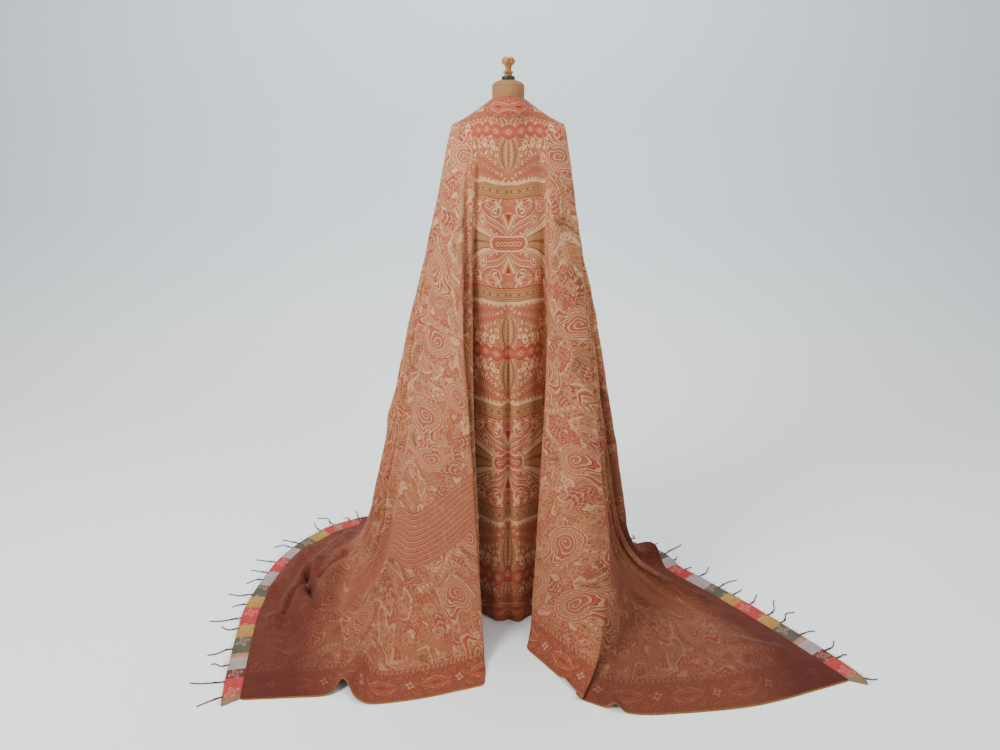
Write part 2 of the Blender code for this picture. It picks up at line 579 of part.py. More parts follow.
for side, word in ((1, "right"), (-1, "left")):
    dice = np.random.default_rng(FRINGE_SEED + side)
    edge, outward = end_edge(sheet, side)
    end_band(f"band_{word}", edge, outward, harlequin)
    stations = stations_along(edge, outward, TASSEL_SPACING, dice)
    half = len(stations) // 2
    while stations[half - 1][2]:
        half += 1
    fringe(f"fringe_{word}_near", stations[:half], dice, wool_fringe)
    fringe(f"fringe_{word}_far", stations[half:], dice, wool_fringe)

form_body("form_body", linen)
turned("form_cap", CAP_PROFILE, NECK_Y, black_cap)
turned("form_finial", FINIAL_PROFILE, NECK_Y, walnut)
turned("form_pole", POLE_PROFILE, POLE_Y, iron)
turned("form_base", BASE_PROFILE, POLE_Y, iron)
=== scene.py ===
# %% [markdown]
# # A paisley shawl on a dress form
#
# The real thing is one long woven shawl, about 1.62 m by 3.60 m, with a narrow band of coloured blocks and
# knotted tassels at each end. It rests round the neck of an old dress form, falls from the shoulders in deep
# folds and spreads on the floor on both sides. We see it from the back.
#
# The frame is the CAD model. Every piece here stands for some of its nodes and keeps their place.

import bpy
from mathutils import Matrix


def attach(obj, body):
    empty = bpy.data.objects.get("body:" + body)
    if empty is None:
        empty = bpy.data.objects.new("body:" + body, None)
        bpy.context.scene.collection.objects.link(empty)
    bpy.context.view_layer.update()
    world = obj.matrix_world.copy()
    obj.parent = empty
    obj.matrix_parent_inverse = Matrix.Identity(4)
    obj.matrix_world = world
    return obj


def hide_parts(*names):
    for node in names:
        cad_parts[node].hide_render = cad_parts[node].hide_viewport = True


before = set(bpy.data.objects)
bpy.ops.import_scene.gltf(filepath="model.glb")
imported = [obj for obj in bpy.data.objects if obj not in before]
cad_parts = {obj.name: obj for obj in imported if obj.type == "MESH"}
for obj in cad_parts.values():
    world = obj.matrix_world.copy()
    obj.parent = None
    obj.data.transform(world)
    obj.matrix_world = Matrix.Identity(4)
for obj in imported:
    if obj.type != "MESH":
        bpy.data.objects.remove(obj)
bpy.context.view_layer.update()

# %% What the cells below use
import ast
import math
from collections import namedtuple

import bmesh
import bpy
import numpy as np
from mathutils import Vector, noise

scene = bpy.context.scene
SIDES = ((1, "right"), (-1, "left"))


def from_hex(code):
    """An sRGB hex colour as linear values with alpha."""
    channels = [int(code[i:i + 2], 16) / 255 for i in (1, 3, 5)]
    return (*[c / 12.92 if c <= 0.04045 else ((c + 0.055) / 1.055) ** 2.4 for c in channels], 1)


def placed(name, data):
    """A new object in the scene."""
    piece = bpy.data.objects.new(name, data)
    scene.collection.objects.link(piece)
    return piece


def add_tube(shape, rings):
    """Adds a closed tube through rings of points to a bmesh."""
    loops = [[shape.verts.new(point) for point in ring] for ring in rings]
    count = len(loops[0])
    for below, above in zip(loops, loops[1:]):
        for k in range(count):
            j = (k + 1) % count
            shape.faces.new((below[k], below[j], above[j], above[k]))
    shape.faces.new(loops[0][::-1])
    shape.faces.new(loops[-1])


def mesh_from(shape, name):
    """The bmesh as a smooth mesh."""
    mesh = bpy.data.meshes.new(name)
    shape.to_mesh(mesh)
    shape.free()
    mesh.shade_smooth()
    return mesh


# %% [markdown]
# ## Nodes from formulas
#
# A woven pattern is mostly arithmetic on where a thread lies. One helper adds any node, and a second reads a
# formula as text and adds a Math node for each of its steps. A pattern then reads like a sum on paper, which
# is much easier to follow and to change than a long list of nodes.

# %% One helper that adds a node, and one that reads a formula
OPERATIONS = {ast.Add: "ADD", ast.Sub: "SUBTRACT", ast.Mult: "MULTIPLY", ast.Div: "DIVIDE", ast.Pow: "POWER"}
FUNCTIONS = {"sin": "SINE", "cos": "COSINE", "abs": "ABSOLUTE", "min": "MINIMUM", "max": "MAXIMUM",
             "frac": "FRACT", "fold": "PINGPONG", "below": "LESS_THAN", "above": "GREATER_THAN",
             "angle": "ARCTAN2", "root": "SQRT"}


def add(tree, kind, links=(), **settings):
    """Adds a node. links maps an input's name or number to a value or to a socket. Returns the node."""
    made = tree.nodes.new(kind)
    for name, value in settings.items():
        setattr(made, name, value)
    for key, value in dict(links).items():
        if isinstance(value, bpy.types.NodeSocket):
            tree.links.new(value, made.inputs[key])
        else:
            made.inputs[key].default_value = value
    return made


def formula(tree, text, values):
    """Adds the Math nodes that a formula stands for, and returns the socket with its result."""
    def build(part):
        if isinstance(part, ast.Constant):
            return part.value
        if isinstance(part, ast.Name):
            return values[part.id]
        if isinstance(part, ast.UnaryOp):
            below = build(part.operand)
            return -below if isinstance(below, (int, float)) else grow("MULTIPLY", [below, -1])
        if isinstance(part, ast.BinOp):
            return grow(OPERATIONS[type(part.op)], [build(part.left), build(part.right)])
        return grow(FUNCTIONS[part.func.id], [build(argument) for argument in part.args])

    def grow(operation, inputs):
        return add(tree, "ShaderNodeMath", enumerate(inputs), operation=operation).outputs[0]

    return build(ast.parse(text).body[0].value)


# %% [markdown]
# A look is a material in the making. It keeps the values that its formulas can name and the colour painted so
# far. Each call of `over` paints one more layer on top: a mask, then a colour. Where a third text is given,
# the second one is a run of colours with the values between them, "red 0.2 cream 0.6 rose" for instance.

# %% A material in the making
WOOL = {"cream": "#CF9F74", "rose": "#AC5843", "red": "#962420", "olive": "#785436", "tan": "#A8744B",
        "terracotta": "#8A4733", "dark": "#4E3024", "maroon": "#5F231D", "ochre": "#A87B3A"}


def dyed(colour):
    """A socket as it is, or the colour that a name in WOOL or a hex code stands for."""
    return from_hex(WOOL.get(colour, colour)) if isinstance(colour, str) else colour


class Look:
    """A material's tree, the values that its formulas can name, and its colour so far."""

    def __init__(self, name, uv_map=None):
        self.material = bpy.data.materials.new(name)
        self.material.use_nodes = True
        self.tree = self.material.node_tree
        self.shader = self.tree.nodes["Principled BSDF"]
        if uv_map:
            self.place = self.add("ShaderNodeUVMap", uv_map=uv_map).outputs[0]
        else:
            self.place = self.add("ShaderNodeTexCoord").outputs["Object"]
        split = self.add("ShaderNodeSeparateXYZ", {0: self.place}).outputs
        self.known = {"x": split[0], "y": split[1], "z": split[2]}
        self.colour = None

    def add(self, kind, links=(), **settings):
        return add(self.tree, kind, links, **settings)

    def get(self, text):
        return formula(self.tree, text, self.known)

    def let(self, **values):
        """Names values for later formulas: numbers, sockets or formulas, one after the other."""
        for name, value in values.items():
            self.known[name] = self.get(value) if isinstance(value, str) else value

    def noise(self, scale, detail=2.0, at=None, **inputs):
        links = {"Vector": at or self.place, "Scale": scale, "Detail": detail, **inputs}
        return self.add("ShaderNodeTexNoise", links).outputs[0]

    def stretched(self, scale):
        return self.add("ShaderNodeMapping", {"Vector": self.place, "Scale": scale}).outputs[0]

    def span(self, text, low, high):
        """0 where the formula is low or less, 1 where it is high or more."""
        links = {"Value": self.get(text), "From Min": low, "From Max": high}
        return self.add("ShaderNodeMapRange", links).outputs[0]

    def bands(self, text, colours):
        """Flat colours by a formula: every second word is the value where the next colour begins."""
        words = f"0 {colours}".split()
        ramp = self.add("ShaderNodeValToRGB", {0: self.get(text)})
        ramp.color_ramp.interpolation = "CONSTANT"
        points = ramp.color_ramp.elements
        while len(points) < len(words) / 2:
            points.new(0.5)
        for point, value, colour in zip(points, words[::2], words[1::2]):
            point.position = float(value)
            point.color = dyed(colour)
        return ramp.outputs[0]

    def mixed(self, colour, *layers):
        """A colour with layers over it: a mask and a colour, a mask and a colour, and so on."""
        for mask, over in zip(layers[::2], layers[1::2]):
            colour = self.add("ShaderNodeMix", {"Factor": self.get(mask), "A": dyed(colour), "B": dyed(over)},
                              data_type="RGBA").outputs["Result"]
        return colour

    def over(self, mask, colour, by=None):
        """Paints a colour, or bands by a formula, wherever the mask is 1."""
        self.colour = self.mixed(self.colour, mask, self.bands(by, colour) if by else colour)

    def fade(self, text):
        """Makes the colour darker or paler by a formula."""
        links = {"Color": self.colour, "Value": self.get(text)}
        self.colour = self.add("ShaderNodeHueSaturation", links).outputs[0]

    def done(self, inputs, bump=None, strength=0.0, distance=0.0):
        """The material, with the colour, the bump and the shader's other inputs in place."""
        if self.colour:
            self.tree.links.new(self.colour, self.shader.inputs["Base Color"])
        if bump:
            links = {"Height": self.get(bump), "Strength": strength, "Distance": distance}
            self.tree.links.new(self.add("ShaderNodeBump", links).outputs[0], self.shader.inputs["Normal"])
        for name, value in inputs.items():
            self.shader.inputs[name].default_value = value
        return self.material


# %% [markdown]
# ## The shape of the cloth
#
# A hanging cloth is ruled by its folds. Each fold line starts on the shoulders, drops to the floor, turns
# round a knee and runs on to the hem or to the fringed end. The tables name those lines, with the flat point
# that each one reaches, so every point of the cloth knows where it lies on the flat sheet. The same tables
# made the CAD walls. Here the rows and the rounded folds are cut much finer.

# %% The sheet's sizes and its fold lines
WIDTH = 1.62
HALF_LENGTH = 1.80
BAND = 0.05
SHEET_END = HALF_LENGTH - BAND
WALL = 0.0013

NECK_SIDE_FLAT = Vector((0.080, 0.0))
SHOULDER_FLAT = Vector((0.195, 0.075))
NECK_RADIUS = 0.0480
NECK_Y = 0.012
NECK_SIDE = Vector((NECK_RADIUS, NECK_Y, 1.595))
SHOULDER_TIP = Vector((0.160, 0.002, 1.524))
RIDGE_DIP = 0.006
NAPE_RISE = 0.008
BLADE_HEIGHT = 1.415
OVER_REACH = Vector((0.45, 0.80, 0.12))
ROUND_AT_BLADE = 0.16
ROUND_AT_KNEE = 0.30
FOLD_BIRTH = 0.14
HUMP_AT = 0.40
HUMP_WIDTH = 0.10
LARGEST_BEND = 0.42
BEND_AT_TOP = 0.20
# the knee's bend is never longer than this share of the run past it, plus a little
KNEE_SHARE = 1.6
KNEE_LEAST = 0.02
FLOOR_SHARE = 0.9
FLOOR_OF_KNEE = 0.8
BEND_POINTS = 60
FALL_POINTS = 80
ROUTE_POINTS = 240
ROW_CROWDING = 1.15

# A fold line. start: -1 at the nape, 0 at the side of the neck, 1 at the shoulder tip, then back to 2 at
# the neck by the front. u, v: the flat point it ends at. blade, knee, end: where it leaves the back, meets
# the floor and ends. swell: how far it stands out midway. bend: how much cloth on each side turns there,
# small for a sharp fold. lift: height of knee and end. hump: how high the cloth bunches on its way over the
# floor.
Fold = namedtuple("Fold", "name start u v blade_x blade_y knee_x knee_y end_x end_y swell bend"
                          " knee_lift end_lift hump", defaults=(0, 0, 0))
SOFT = 0.30
HEM = WIDTH
END = SHEET_END
RIGHT_FOLDS = [Fold(*row) for row in (
    ("centre", -1, 0, HEM, 0, -0.112, 0, -0.103, 0.006, -0.103, 0, 0.02),
    ("panel ridge", -0.55, 0.035, HEM, 0.034, -0.114, 0.028, -0.124, 0.034, -0.123, 0, 0.09),
    ("panel side", 0, 0.085, HEM, 0.073, -0.112, 0.06, -0.098, 0.058, -0.094, 0, 0.05),
    ("pleat", 0.35, 0.36, HEM, 0.096, -0.109, 0.19, 0.005, 0.19, 0.002, -0.012, 0.02),
    ("inner fold", 0.6, 0.67, HEM, 0.114, -0.105, 0.064, -0.19, 0.051, -0.238, 0.026, 0.02),
    ("near face", 0.85, 0.8, HEM, 0.146, -0.084, 0.15, -0.25, 0.122, -0.33, 0.01, SOFT),
    ("near side", 1, 0.91, HEM, 0.163, -0.062, 0.25, -0.275, 0.178, -0.408, 0.01, SOFT),
    ("outer fold", 1, 0.96, HEM, 0.17, -0.045, 0.322, -0.21, 0.207, -0.452, 0.03, 0.02, 0.03, 0.012),
    ("under fold", 1, 1, HEM, 0.174, -0.032, 0.236, -0.1, 0.17, -0.43, -0.04, 0.04),
    ("train near", 1, 1.15, HEM, 0.177, -0.024, 0.31, -0.04, 0.318, -0.501, -0.016, SOFT),
    ("train middle", 1, 1.31, HEM, 0.179, -0.014, 0.34, 0.03, 0.506, -0.487, -0.01, SOFT),
    ("train far", 1, 1.465, HEM, 0.181, -0.006, 0.355, 0.07, 0.68, -0.465, -0.01, SOFT),
    ("corner", 1, END, HEM, 0.182, 0.002, 0.365, 0.1, 0.956, -0.372, -0.01, 0.012),
    ("end low", 1, END, 1.41, 0.182, 0.01, 0.375, 0.13, 0.85, -0.205, -0.01, SOFT),
    ("end middle", 1, END, 1.11, 0.182, 0.018, 0.385, 0.155, 0.668, 0.035, -0.01, SOFT),
    ("end high", 1, END, 0.94, 0.181, 0.026, 0.395, 0.18, 0.562, 0.15, -0.01, SOFT),
    ("under side", 1, END, 0.86, 0.18, 0.03, 0.395, 0.19, 0.552, 0.192, -0.012, 0.03),
    ("side ridge", 1, END, 0.78, 0.178, 0.04, 0.462, 0.205, 0.53, 0.236, -0.006, 0.05, 0, 0.07),
    ("side valley", 1, END, 0.6, 0.174, 0.052, 0.36, 0.25, 0.43, 0.3, -0.01, 0.06),
    ("front ridge", 1, END, 0.4, 0.165, 0.064, 0.305, 0.29, 0.338, 0.385, 0.01, 0.06),
    ("front valley", 1.2, END, 0.24, 0.152, 0.078, 0.23, 0.25, 0.252, 0.33, -0.01, 0.06),
    ("front fold", 1.5, END, 0.11, 0.132, 0.09, 0.176, 0.3, 0.187, 0.39, 0.01, 0.06),
    ("front edge", 2, END, 0, 0.104, 0.098, 0.112, 0.275, 0.116, 0.362, 0, SOFT),
)]
LEFT_FOLDS = [Fold(*row) for row in (
    ("centre", -1, 0, HEM, 0, -0.112, 0, -0.103, -0.006, -0.103, 0, 0.02),
    ("panel ridge", -0.55, 0.04, HEM, 0.034, -0.114, 0.03, -0.126, 0.02, -0.118, 0, 0.09),
    ("panel side", 0, 0.09, HEM, 0.073, -0.112, 0.056, -0.102, 0.05, -0.098, 0, 0.05),
    ("back pleat", 0.18, 0.31, HEM, 0.087, -0.11, 0.205, 0.022, 0.205, 0.02, -0.012, 0.02),
    ("hidden fold", 0.3, 0.54, HEM, 0.1, -0.109, 0.078, -0.14, 0.078, -0.145, 0.01, 0.02),
    ("side pleat", 0.42, 0.76, HEM, 0.113, -0.106, 0.235, -0.09, 0.205, -0.16, -0.004, 0.02),
    ("inner fold", 0.58, 0.975, HEM, 0.127, -0.101, 0.064, -0.225, 0.06, -0.387, 0.026, 0.02),
    ("near face", 0.85, 1.185, HEM, 0.15, -0.08, 0.185, -0.23, 0.24, -0.442, 0.01, SOFT),
    ("near side", 1, 1.353, HEM, 0.164, -0.058, 0.32, -0.175, 0.406, -0.467, 0.01, SOFT),
    ("hem wave", 1, 1.45, HEM, 0.17, -0.044, 0.38, -0.125, 0.455, -0.395, 0, 0.04, 0, 0.045),
    ("train near", 1, 1.5, HEM, 0.173, -0.035, 0.405, -0.095, 0.482, -0.43, 0, SOFT),
    ("train far", 1, 1.61, HEM, 0.176, -0.026, 0.425, -0.055, 0.59, -0.436, 0, SOFT),
    ("corner", 1, END, HEM, 0.178, -0.018, 0.44, -0.02, 0.728, -0.444, 0, 0.012, 0, 0, 0.02),
    ("end low", 1, END, 1.41, 0.18, -0.008, 0.465, 0.03, 0.768, -0.238, 0, SOFT, 0, 0, 0.045),
    ("end middle", 1, END, 1.2, 0.182, 0.002, 0.485, 0.09, 0.799, -0.036, 0, SOFT, 0, 0, 0.05),
    ("end high", 1, END, 0.954, 0.182, 0.014, 0.505, 0.16, 0.774, 0.195, 0, SOFT, 0, 0, 0.025),
    ("end turn", 1, END, 0.814, 0.181, 0.024, 0.505, 0.225, 0.724, 0.31, 0, SOFT),
    ("end back", 1, END, 0.672, 0.179, 0.034, 0.495, 0.31, 0.648, 0.409, 0, SOFT),
    ("side ridge", 1, END, 0.49, 0.175, 0.046, 0.45, 0.4, 0.52, 0.485, 0, 0.06),
    ("front valley", 1, END, 0.33, 0.166, 0.06, 0.32, 0.33, 0.375, 0.425, -0.01, 0.06),
    ("front ridge", 1.2, END, 0.19, 0.154, 0.076, 0.25, 0.37, 0.278, 0.465, 0.01, 0.06),
    ("front fold", 1.5, END, 0.09, 0.134, 0.089, 0.188, 0.32, 0.2, 0.412, -0.01, 0.06),
    ("front edge", 2, END, 0, 0.104, 0.098, 0.128, 0.345, 0.133, 0.44, 0, SOFT),
)]


# %% A fold line's route
def start_of(place, side):
    """The placed point and the flat point that a fold line starts from."""
    if place <= 0:
        share = 1 + place
        turn = share * math.pi / 2
        flat = NECK_SIDE_FLAT * share
        point = Vector((NECK_RADIUS * math.sin(turn), NECK_Y - NECK_RADIUS * math.cos(turn),
                        NECK_SIDE.z + NAPE_RISE * (1 - share)))
    else:
        share = place if place <= 1 else 2 - place
        flat = NECK_SIDE_FLAT.lerp(SHOULDER_FLAT, share)
        point = NECK_SIDE.lerp(SHOULDER_TIP, share)
        point.z -= RIDGE_DIP * math.sin(math.pi * share)
    point.x *= side
    return point, (side * flat.x, flat.y)


def straight(a, b, count):
    return [a.lerp(b, i / count) for i in range(count)]


def rounded(a, corner, b, count):
    """A parabola from a to b that a corner pulls, for a smooth bend."""
    return [a.lerp(corner, i / count).lerp(corner.lerp(b, i / count), i / count) for i in range(count)]


def run_along(line):
    """How far along a line each of its points lies."""
    return np.concatenate([[0], np.cumsum(np.linalg.norm(np.diff(line, axis=0), axis=1))])


def at_run(wanted, run, line):
    """The points of a line at the lengths wanted."""
    return np.stack([np.interp(wanted, run, line[:, axis]) for axis in range(3)], axis=-1)


def unit(ways, smallest=1e-9):
    """The same directions, each of length 1."""
    return ways / np.maximum(np.linalg.norm(ways, axis=-1, keepdims=True), smallest)


def route(fold, side):
    """A fold line, over the shoulder, down, round its knee and along the floor: x, y, z, u, v, bend."""
    start, flat_start = start_of(fold.start, side)
    blade = Vector((side * fold.blade_x, fold.blade_y, BLADE_HEIGHT))
    knee = Vector((side * fold.knee_x, fold.knee_y, fold.knee_lift))
    end = Vector((side * fold.end_x, fold.end_y, fold.end_lift))
    down = (knee - blade).normalized()
    run = (end - knee).length
    knee_bend = min(ROUND_AT_KNEE, KNEE_SHARE * run + KNEE_LEAST)
    over = start + (blade - start) * OVER_REACH
    falls = blade + down * ROUND_AT_BLADE
    bends = knee - down * knee_bend
    lies = knee + (end - knee).normalized() * min(FLOOR_SHARE * run, FLOOR_OF_KNEE * knee_bend)
    points = np.array(rounded(start, over, falls, BEND_POINTS) + straight(falls, bends, FALL_POINTS)
                      + rounded(bends, knee, lies, BEND_POINTS) + straight(lies, end, BEND_POINTS) + [end])
    length = run_along(points)
    line = at_run(np.linspace(0, length[-1], ROUTE_POINTS), length, points)
    fallen = np.clip((BLADE_HEIGHT - line[:, 2]) / BLADE_HEIGHT, 0, 1)
    born = 1 - np.exp(-fallen / FOLD_BIRTH)
    swell = fold.swell * (1 - fallen) * born
    line[:, :2] += swell[:, None] * np.array((blade.x, blade.y)) / math.hypot(blade.x, blade.y)
    top = knee.lerp(end, HUMP_AT)
    away = np.linalg.norm(line[:, :2] - (top.x, top.y), axis=1)
    line[:, 2] += fold.hump * np.exp(-(away / HUMP_WIDTH) ** 2)
    flat = np.linspace(flat_start, (side * fold.u, fold.v), ROUTE_POINTS)
    return np.column_stack([line, flat, fold.bend + BEND_AT_TOP * (1 - born)])


# %% [markdown]
# ## From fold lines to a surface
#
# Between two fold lines the cloth hangs nearly straight across, and at each line it turns through a small
# bend. So a row of the sheet is a chain of straight spans joined by short curves: narrow curves at sharp
# folds, wide ones where the cloth is soft.

# %% The fine sheet, points[column][row] of x, y, z, u, v
ROWS = 240
COLUMN_STEP = 0.0095
FEWEST_IN_BEND = 5
# the fold lines from the left front edge round the back to the right one, with their sides
FOLDS = [(fold, -1) for fold in reversed(LEFT_FOLDS[1:])] + [(fold, 1) for fold in RIGHT_FOLDS]


def fine_sheet():
    """The sheet's points, and the column where each fold line's bend starts."""
    picked = (ROUTE_POINTS - 1) * np.linspace(0, 1, ROWS) ** ROW_CROWDING
    whole = np.arange(ROUTE_POINTS)
    lines = [np.stack([np.interp(picked, whole, value) for value in route(fold, side).T], axis=1)
             for fold, side in FOLDS]
    for line in lines:
        line[:, 2] = np.maximum(line[:, 2], 0)
    last = len(lines) - 1
    corners = [line[:, :5] for line in lines]
    near, far = [], []
    for i, line in enumerate(lines):
        for ends, other in ((near, corners[max(i - 1, 0)]), (far, corners[min(i + 1, last)])):
            way = other - corners[i]
            length = np.maximum(np.linalg.norm(way[:, :3], axis=1), 1e-6)
            ends.append(corners[i] + way * np.minimum(line[:, 5] / length, LARGEST_BEND)[:, None])
    near[0] = far[0] = corners[0]
    near[-1] = far[-1] = corners[-1]

    def count_for(a, b, fewest):
        return max(fewest, math.ceil(np.linalg.norm((b - a)[:, :3], axis=1).max() / COLUMN_STEP))

    columns, starts = [corners[0]], [0]
    for i in range(1, len(lines)):
        count = count_for(far[i - 1], near[i], 2)
        columns += [far[i - 1] + (near[i] - far[i - 1]) * k / count for k in range(1, count + 1)]
        starts.append(len(columns) - 1)
        if i < last:
            count = count_for(near[i], far[i], FEWEST_IN_BEND)
            for share in (k / count for k in range(1, count + 1)):
                rest = 1 - share
                columns.append(near[i] * rest ** 2 + corners[i] * 2 * share * rest + far[i] * share ** 2)
    return np.array(columns), starts


drawn, fold_columns = fine_sheet()
cloth = drawn[:, :, :3].copy()
flat = drawn[:, :, 3:]
names = [(fold.name, side) for fold, side in FOLDS]
print("sheet", cloth.shape[0], "columns", cloth.shape[1], "rows")


def column_of(name, side):
    return fold_columns[names.index((name, side))]


def outward_of(points):
    """The outward direction at each point of the sheet."""
    steps = unit(np.diff(points, axis=0))
    across = np.concatenate([steps[:1], steps[:-1] + steps[1:], steps[-1:]])
    falls = unit(np.diff(points, axis=1))
    down = np.concatenate([falls[:, :1], falls[:, :-1] + falls[:, 1:], falls[:, -1:]], axis=1)
    normal = unit(np.cross(down, across))
    normal[:, :2] = normal[:, 2:3]
    return normal


# %% [markdown]
# ## Creases and ripples
#
# The fold lines give the large shape. Real cloth also carries creases where it was pulled and soft ripples
# between its folds. Each crease here is a short line on the flat sheet, placed where the photo shows one,
# and pressed in or out along the surface. Slow noise adds the ripples, stronger near the floor, where the
# cloth bunches up. There a second table names the folds by their place on the floor.

# %% Creases and pleats
# creases as lines on the flat sheet: side, u and v of both ends, width, depth
CREASES = (
    (-1, 1.1, 1.2, 1.36, 1.52, 0.02, 0.007), (-1, 0.98, 1.28, 1.22, 1.58, 0.016, -0.006),
    (-1, 1.22, 1.1, 1.48, 1.4, 0.018, 0.008), (-1, 1.34, 1.02, 1.58, 1.3, 0.015, -0.008),
    (-1, 1.05, 0.98, 1.3, 1.22, 0.022, 0.006), (0, 0, 0.6, 0, 1.54, 0.01, -0.016),
    (1, 0.03, 0.7, 0.03, 1.5, 0.014, 0.006), (-1, 0.028, 0.7, 0.028, 1.5, 0.014, 0.006),
    (-1, 0.9, 0.8, 1.12, 1.05, 0.024, 0.005), (-1, 1, 0.5, 1.16, 1.02, 0.036, 0.01),
    (-1, 1.06, 1, 1.32, 1.17, 0.03, -0.011), (-1, 1, 1.2, 1.34, 1.32, 0.03, 0.013),
    (-1, 1.16, 0.78, 1.32, 1.2, 0.03, -0.009), (-1, 0.99, 1.3, 1.16, 1.42, 0.02, -0.008),
    (1, 0.7, 0.4, 0.74, 1.1, 0.03, 0.008), (1, 0.84, 0.6, 0.88, 1.3, 0.03, -0.008),
    (1, 0.7, 1.15, 0.86, 1.36, 0.03, 0.009), (1, 1.02, 0.5, 1.1, 1, 0.022, -0.01),
    (-1, 0.62, 0.55, 0.84, 0.95, 0.02, -0.004), (-1, 0.36, 0.22, 0.46, 0.52, 0.016, -0.003),
    (1, 0.32, 0.2, 0.4, 0.5, 0.016, -0.003), (1, 0.72, 0.8, 0.84, 1.4, 0.016, 0.004),
    (1, 0.66, 1.3, 0.8, 1.52, 0.014, -0.004), (1, 1.1, 1.2, 1.5, 1.36, 0.02, 0.006),
    (1, 1.18, 1.4, 1.6, 1.5, 0.018, 0.005), (1, 1.2, 0.95, 1.55, 1.1, 0.018, 0.006),
    (1, 0.8, 0.6, 1.1, 0.8, 0.02, 0.004),
)
# folds as lines on the floor: x and y of both ends, width, height
FLOOR_FOLDS = (
    (-0.585, 0.3, -0.655, 0.09, 0.04, 0.046), (-0.655, 0.09, -0.715, -0.11, 0.034, 0.045),
    (-0.56, 0.13, -0.59, -0.07, 0.034, 0.054), (-0.61, -0.13, -0.68, -0.02, 0.026, 0.02),
    (-0.72, 0.28, -0.775, 0.05, 0.03, 0.016), (-0.615, 0.26, -0.668, 0.07, 0.014, -0.046),
    (-0.668, 0.07, -0.7, -0.09, 0.014, -0.046), (-0.668, 0.07, -0.65, 0, 0.012, -0.044),
    (-0.65, 0, -0.595, -0.11, 0.014, -0.044), (-0.61, 0.02, -0.545, 0.1, 0.012, -0.044),
    (-0.76, -0.03, -0.64, -0.22, 0.02, -0.03), (-0.56, -0.14, -0.5, -0.3, 0.03, 0.014),
    (0.15, -0.375, 0.178, -0.445, 0.013, 0.016), (0.268, -0.44, 0.29, -0.5, 0.014, 0.022),
    (0.42, -0.12, 0.8, -0.25, 0.02, 0.012), (0.4, -0.04, 0.76, -0.14, 0.016, -0.012),
    (0.48, 0.08, 0.64, -0.01, 0.018, 0.016), (0.44, -0.26, 0.7, -0.34, 0.022, 0.009),
)
FLOOR_FOLDS_BELOW = 0.16
# noise over the flat sheet: its scale across, its scale down, its height
RIPPLES = ((7.0, 2.0, 0.0045), (20.0, 4.0, 0.0020), (60.0, 14.0, 0.0006))
RUMPLE_SCALE = 13.0
RUMPLE_HEIGHT = 0.006
RUMPLE_BELOW = 0.12
CALM_ABOVE = 1.50
CALM_DEPTH = 0.16
# the share of the rows above the hem over which the ripples grow
HEM_CALM_SHARE = 1 / 12
PLEAT_DEPTH = 0.013
# side, angle from one pleat to the next, degrees where the fan starts, height below which it starts
HANG_PLEATS = ((-1, 0.088, 53, 1.40), (1, 0.083, 60, 1.42))


def from_line(x, y, a, b):
    """How far along the line from a to b each point lies, from 0 to 1, and how far away from it."""
    way = np.subtract(b, a)
    share = ((x - a[0]) * way[0] + (y - a[1]) * way[1]) / (way @ way)
    inside = np.clip(share, 0, 1)
    return share, np.hypot(x - a[0] - way[0] * inside, y - a[1] - way[1] * inside)


def crease_depth(u, v):
    """How far the creases press each flat point in or out."""
    depth = np.zeros_like(u)
    for side, u1, v1, u2, v2, width, deepest in CREASES:
        share, away = from_line(u, v, (side * u1, v1), (side * u2, v2))
        taper = np.clip(np.minimum(share, 1 - share) * 3 + 0.35, 0, 1)
        depth += deepest * taper * np.exp(-(away / width) ** 2)
    return depth


def floor_folds(x, y, height):
    """How much higher or lower the cloth lies for the creases where it bunched up on the floor."""
    lift = np.zeros_like(x)
    for x1, y1, x2, y2, width, highest in FLOOR_FOLDS:
        lift += highest * np.exp(-(from_line(x, y, (x1, y1), (x2, y2))[1] / width) ** 2)
    return lift * np.clip(1 - height / FLOOR_FOLDS_BELOW, 0, 1)


def noise_at(x, y, seed):
    points = zip(x.ravel().tolist(), y.ravel().tolist())
    return np.array([noise.noise((a, b, seed)) for a, b in points]).reshape(x.shape)


def hanging_pleats(u, v, height):
    """Shallow pleats down the sides and the fronts, which spread like a fan from each shoulder tip."""
    depth = np.zeros_like(u)
    for side, turn_step, fan_from, hang_from in HANG_PLEATS:
        away = v - SHOULDER_FLAT.y, side * u - SHOULDER_FLAT.x
        turn, reach = np.arctan2(*away), np.hypot(*away)
        fan = np.clip((math.radians(fan_from) - turn) / 0.12, 0, 1) * np.clip((turn + 0.15) / 0.1, 0, 1)
        hang = np.clip((hang_from - height) / 0.5, 0, 1) * np.clip((height - 0.04) / 0.22, 0, 1)
        drift = np.sin(reach * 4.3 + turn * 9)
        depth += (side * u > 0) * PLEAT_DEPTH * fan * hang * np.sin(2 * math.pi * turn / turn_step + drift)
    return depth


normal = outward_of(cloth)
u, v = flat[:, :, 0], flat[:, :, 1]
x, y, height = (cloth[:, :, axis].copy() for axis in range(3))
move = crease_depth(u, v) + hanging_pleats(u, v, height)
for seed, (across, down, most) in enumerate(RIPPLES):
    move += noise_at(u * across, v * down, seed * 7.3) * most
on_floor = np.clip(1 - height / RUMPLE_BELOW, 0, 1)
move += noise_at(x * RUMPLE_SCALE, y * RUMPLE_SCALE, 3.1) * RUMPLE_HEIGHT * on_floor
calm = np.clip((CALM_ABOVE - height) / CALM_DEPTH, 0, 1)
hem_calm = np.clip((1 - np.linspace(0, 1, ROWS)) / HEM_CALM_SHARE, 0, 1)
move = np.where(on_floor > 0, np.abs(move) * on_floor + move * (1 - on_floor), move)
cloth += normal * (move * calm * (0.35 + 0.65 * hem_calm))[:, :, None]
cloth[:, :, 2] += floor_folds(cloth[:, :, 0], cloth[:, :, 1], cloth[:, :, 2])
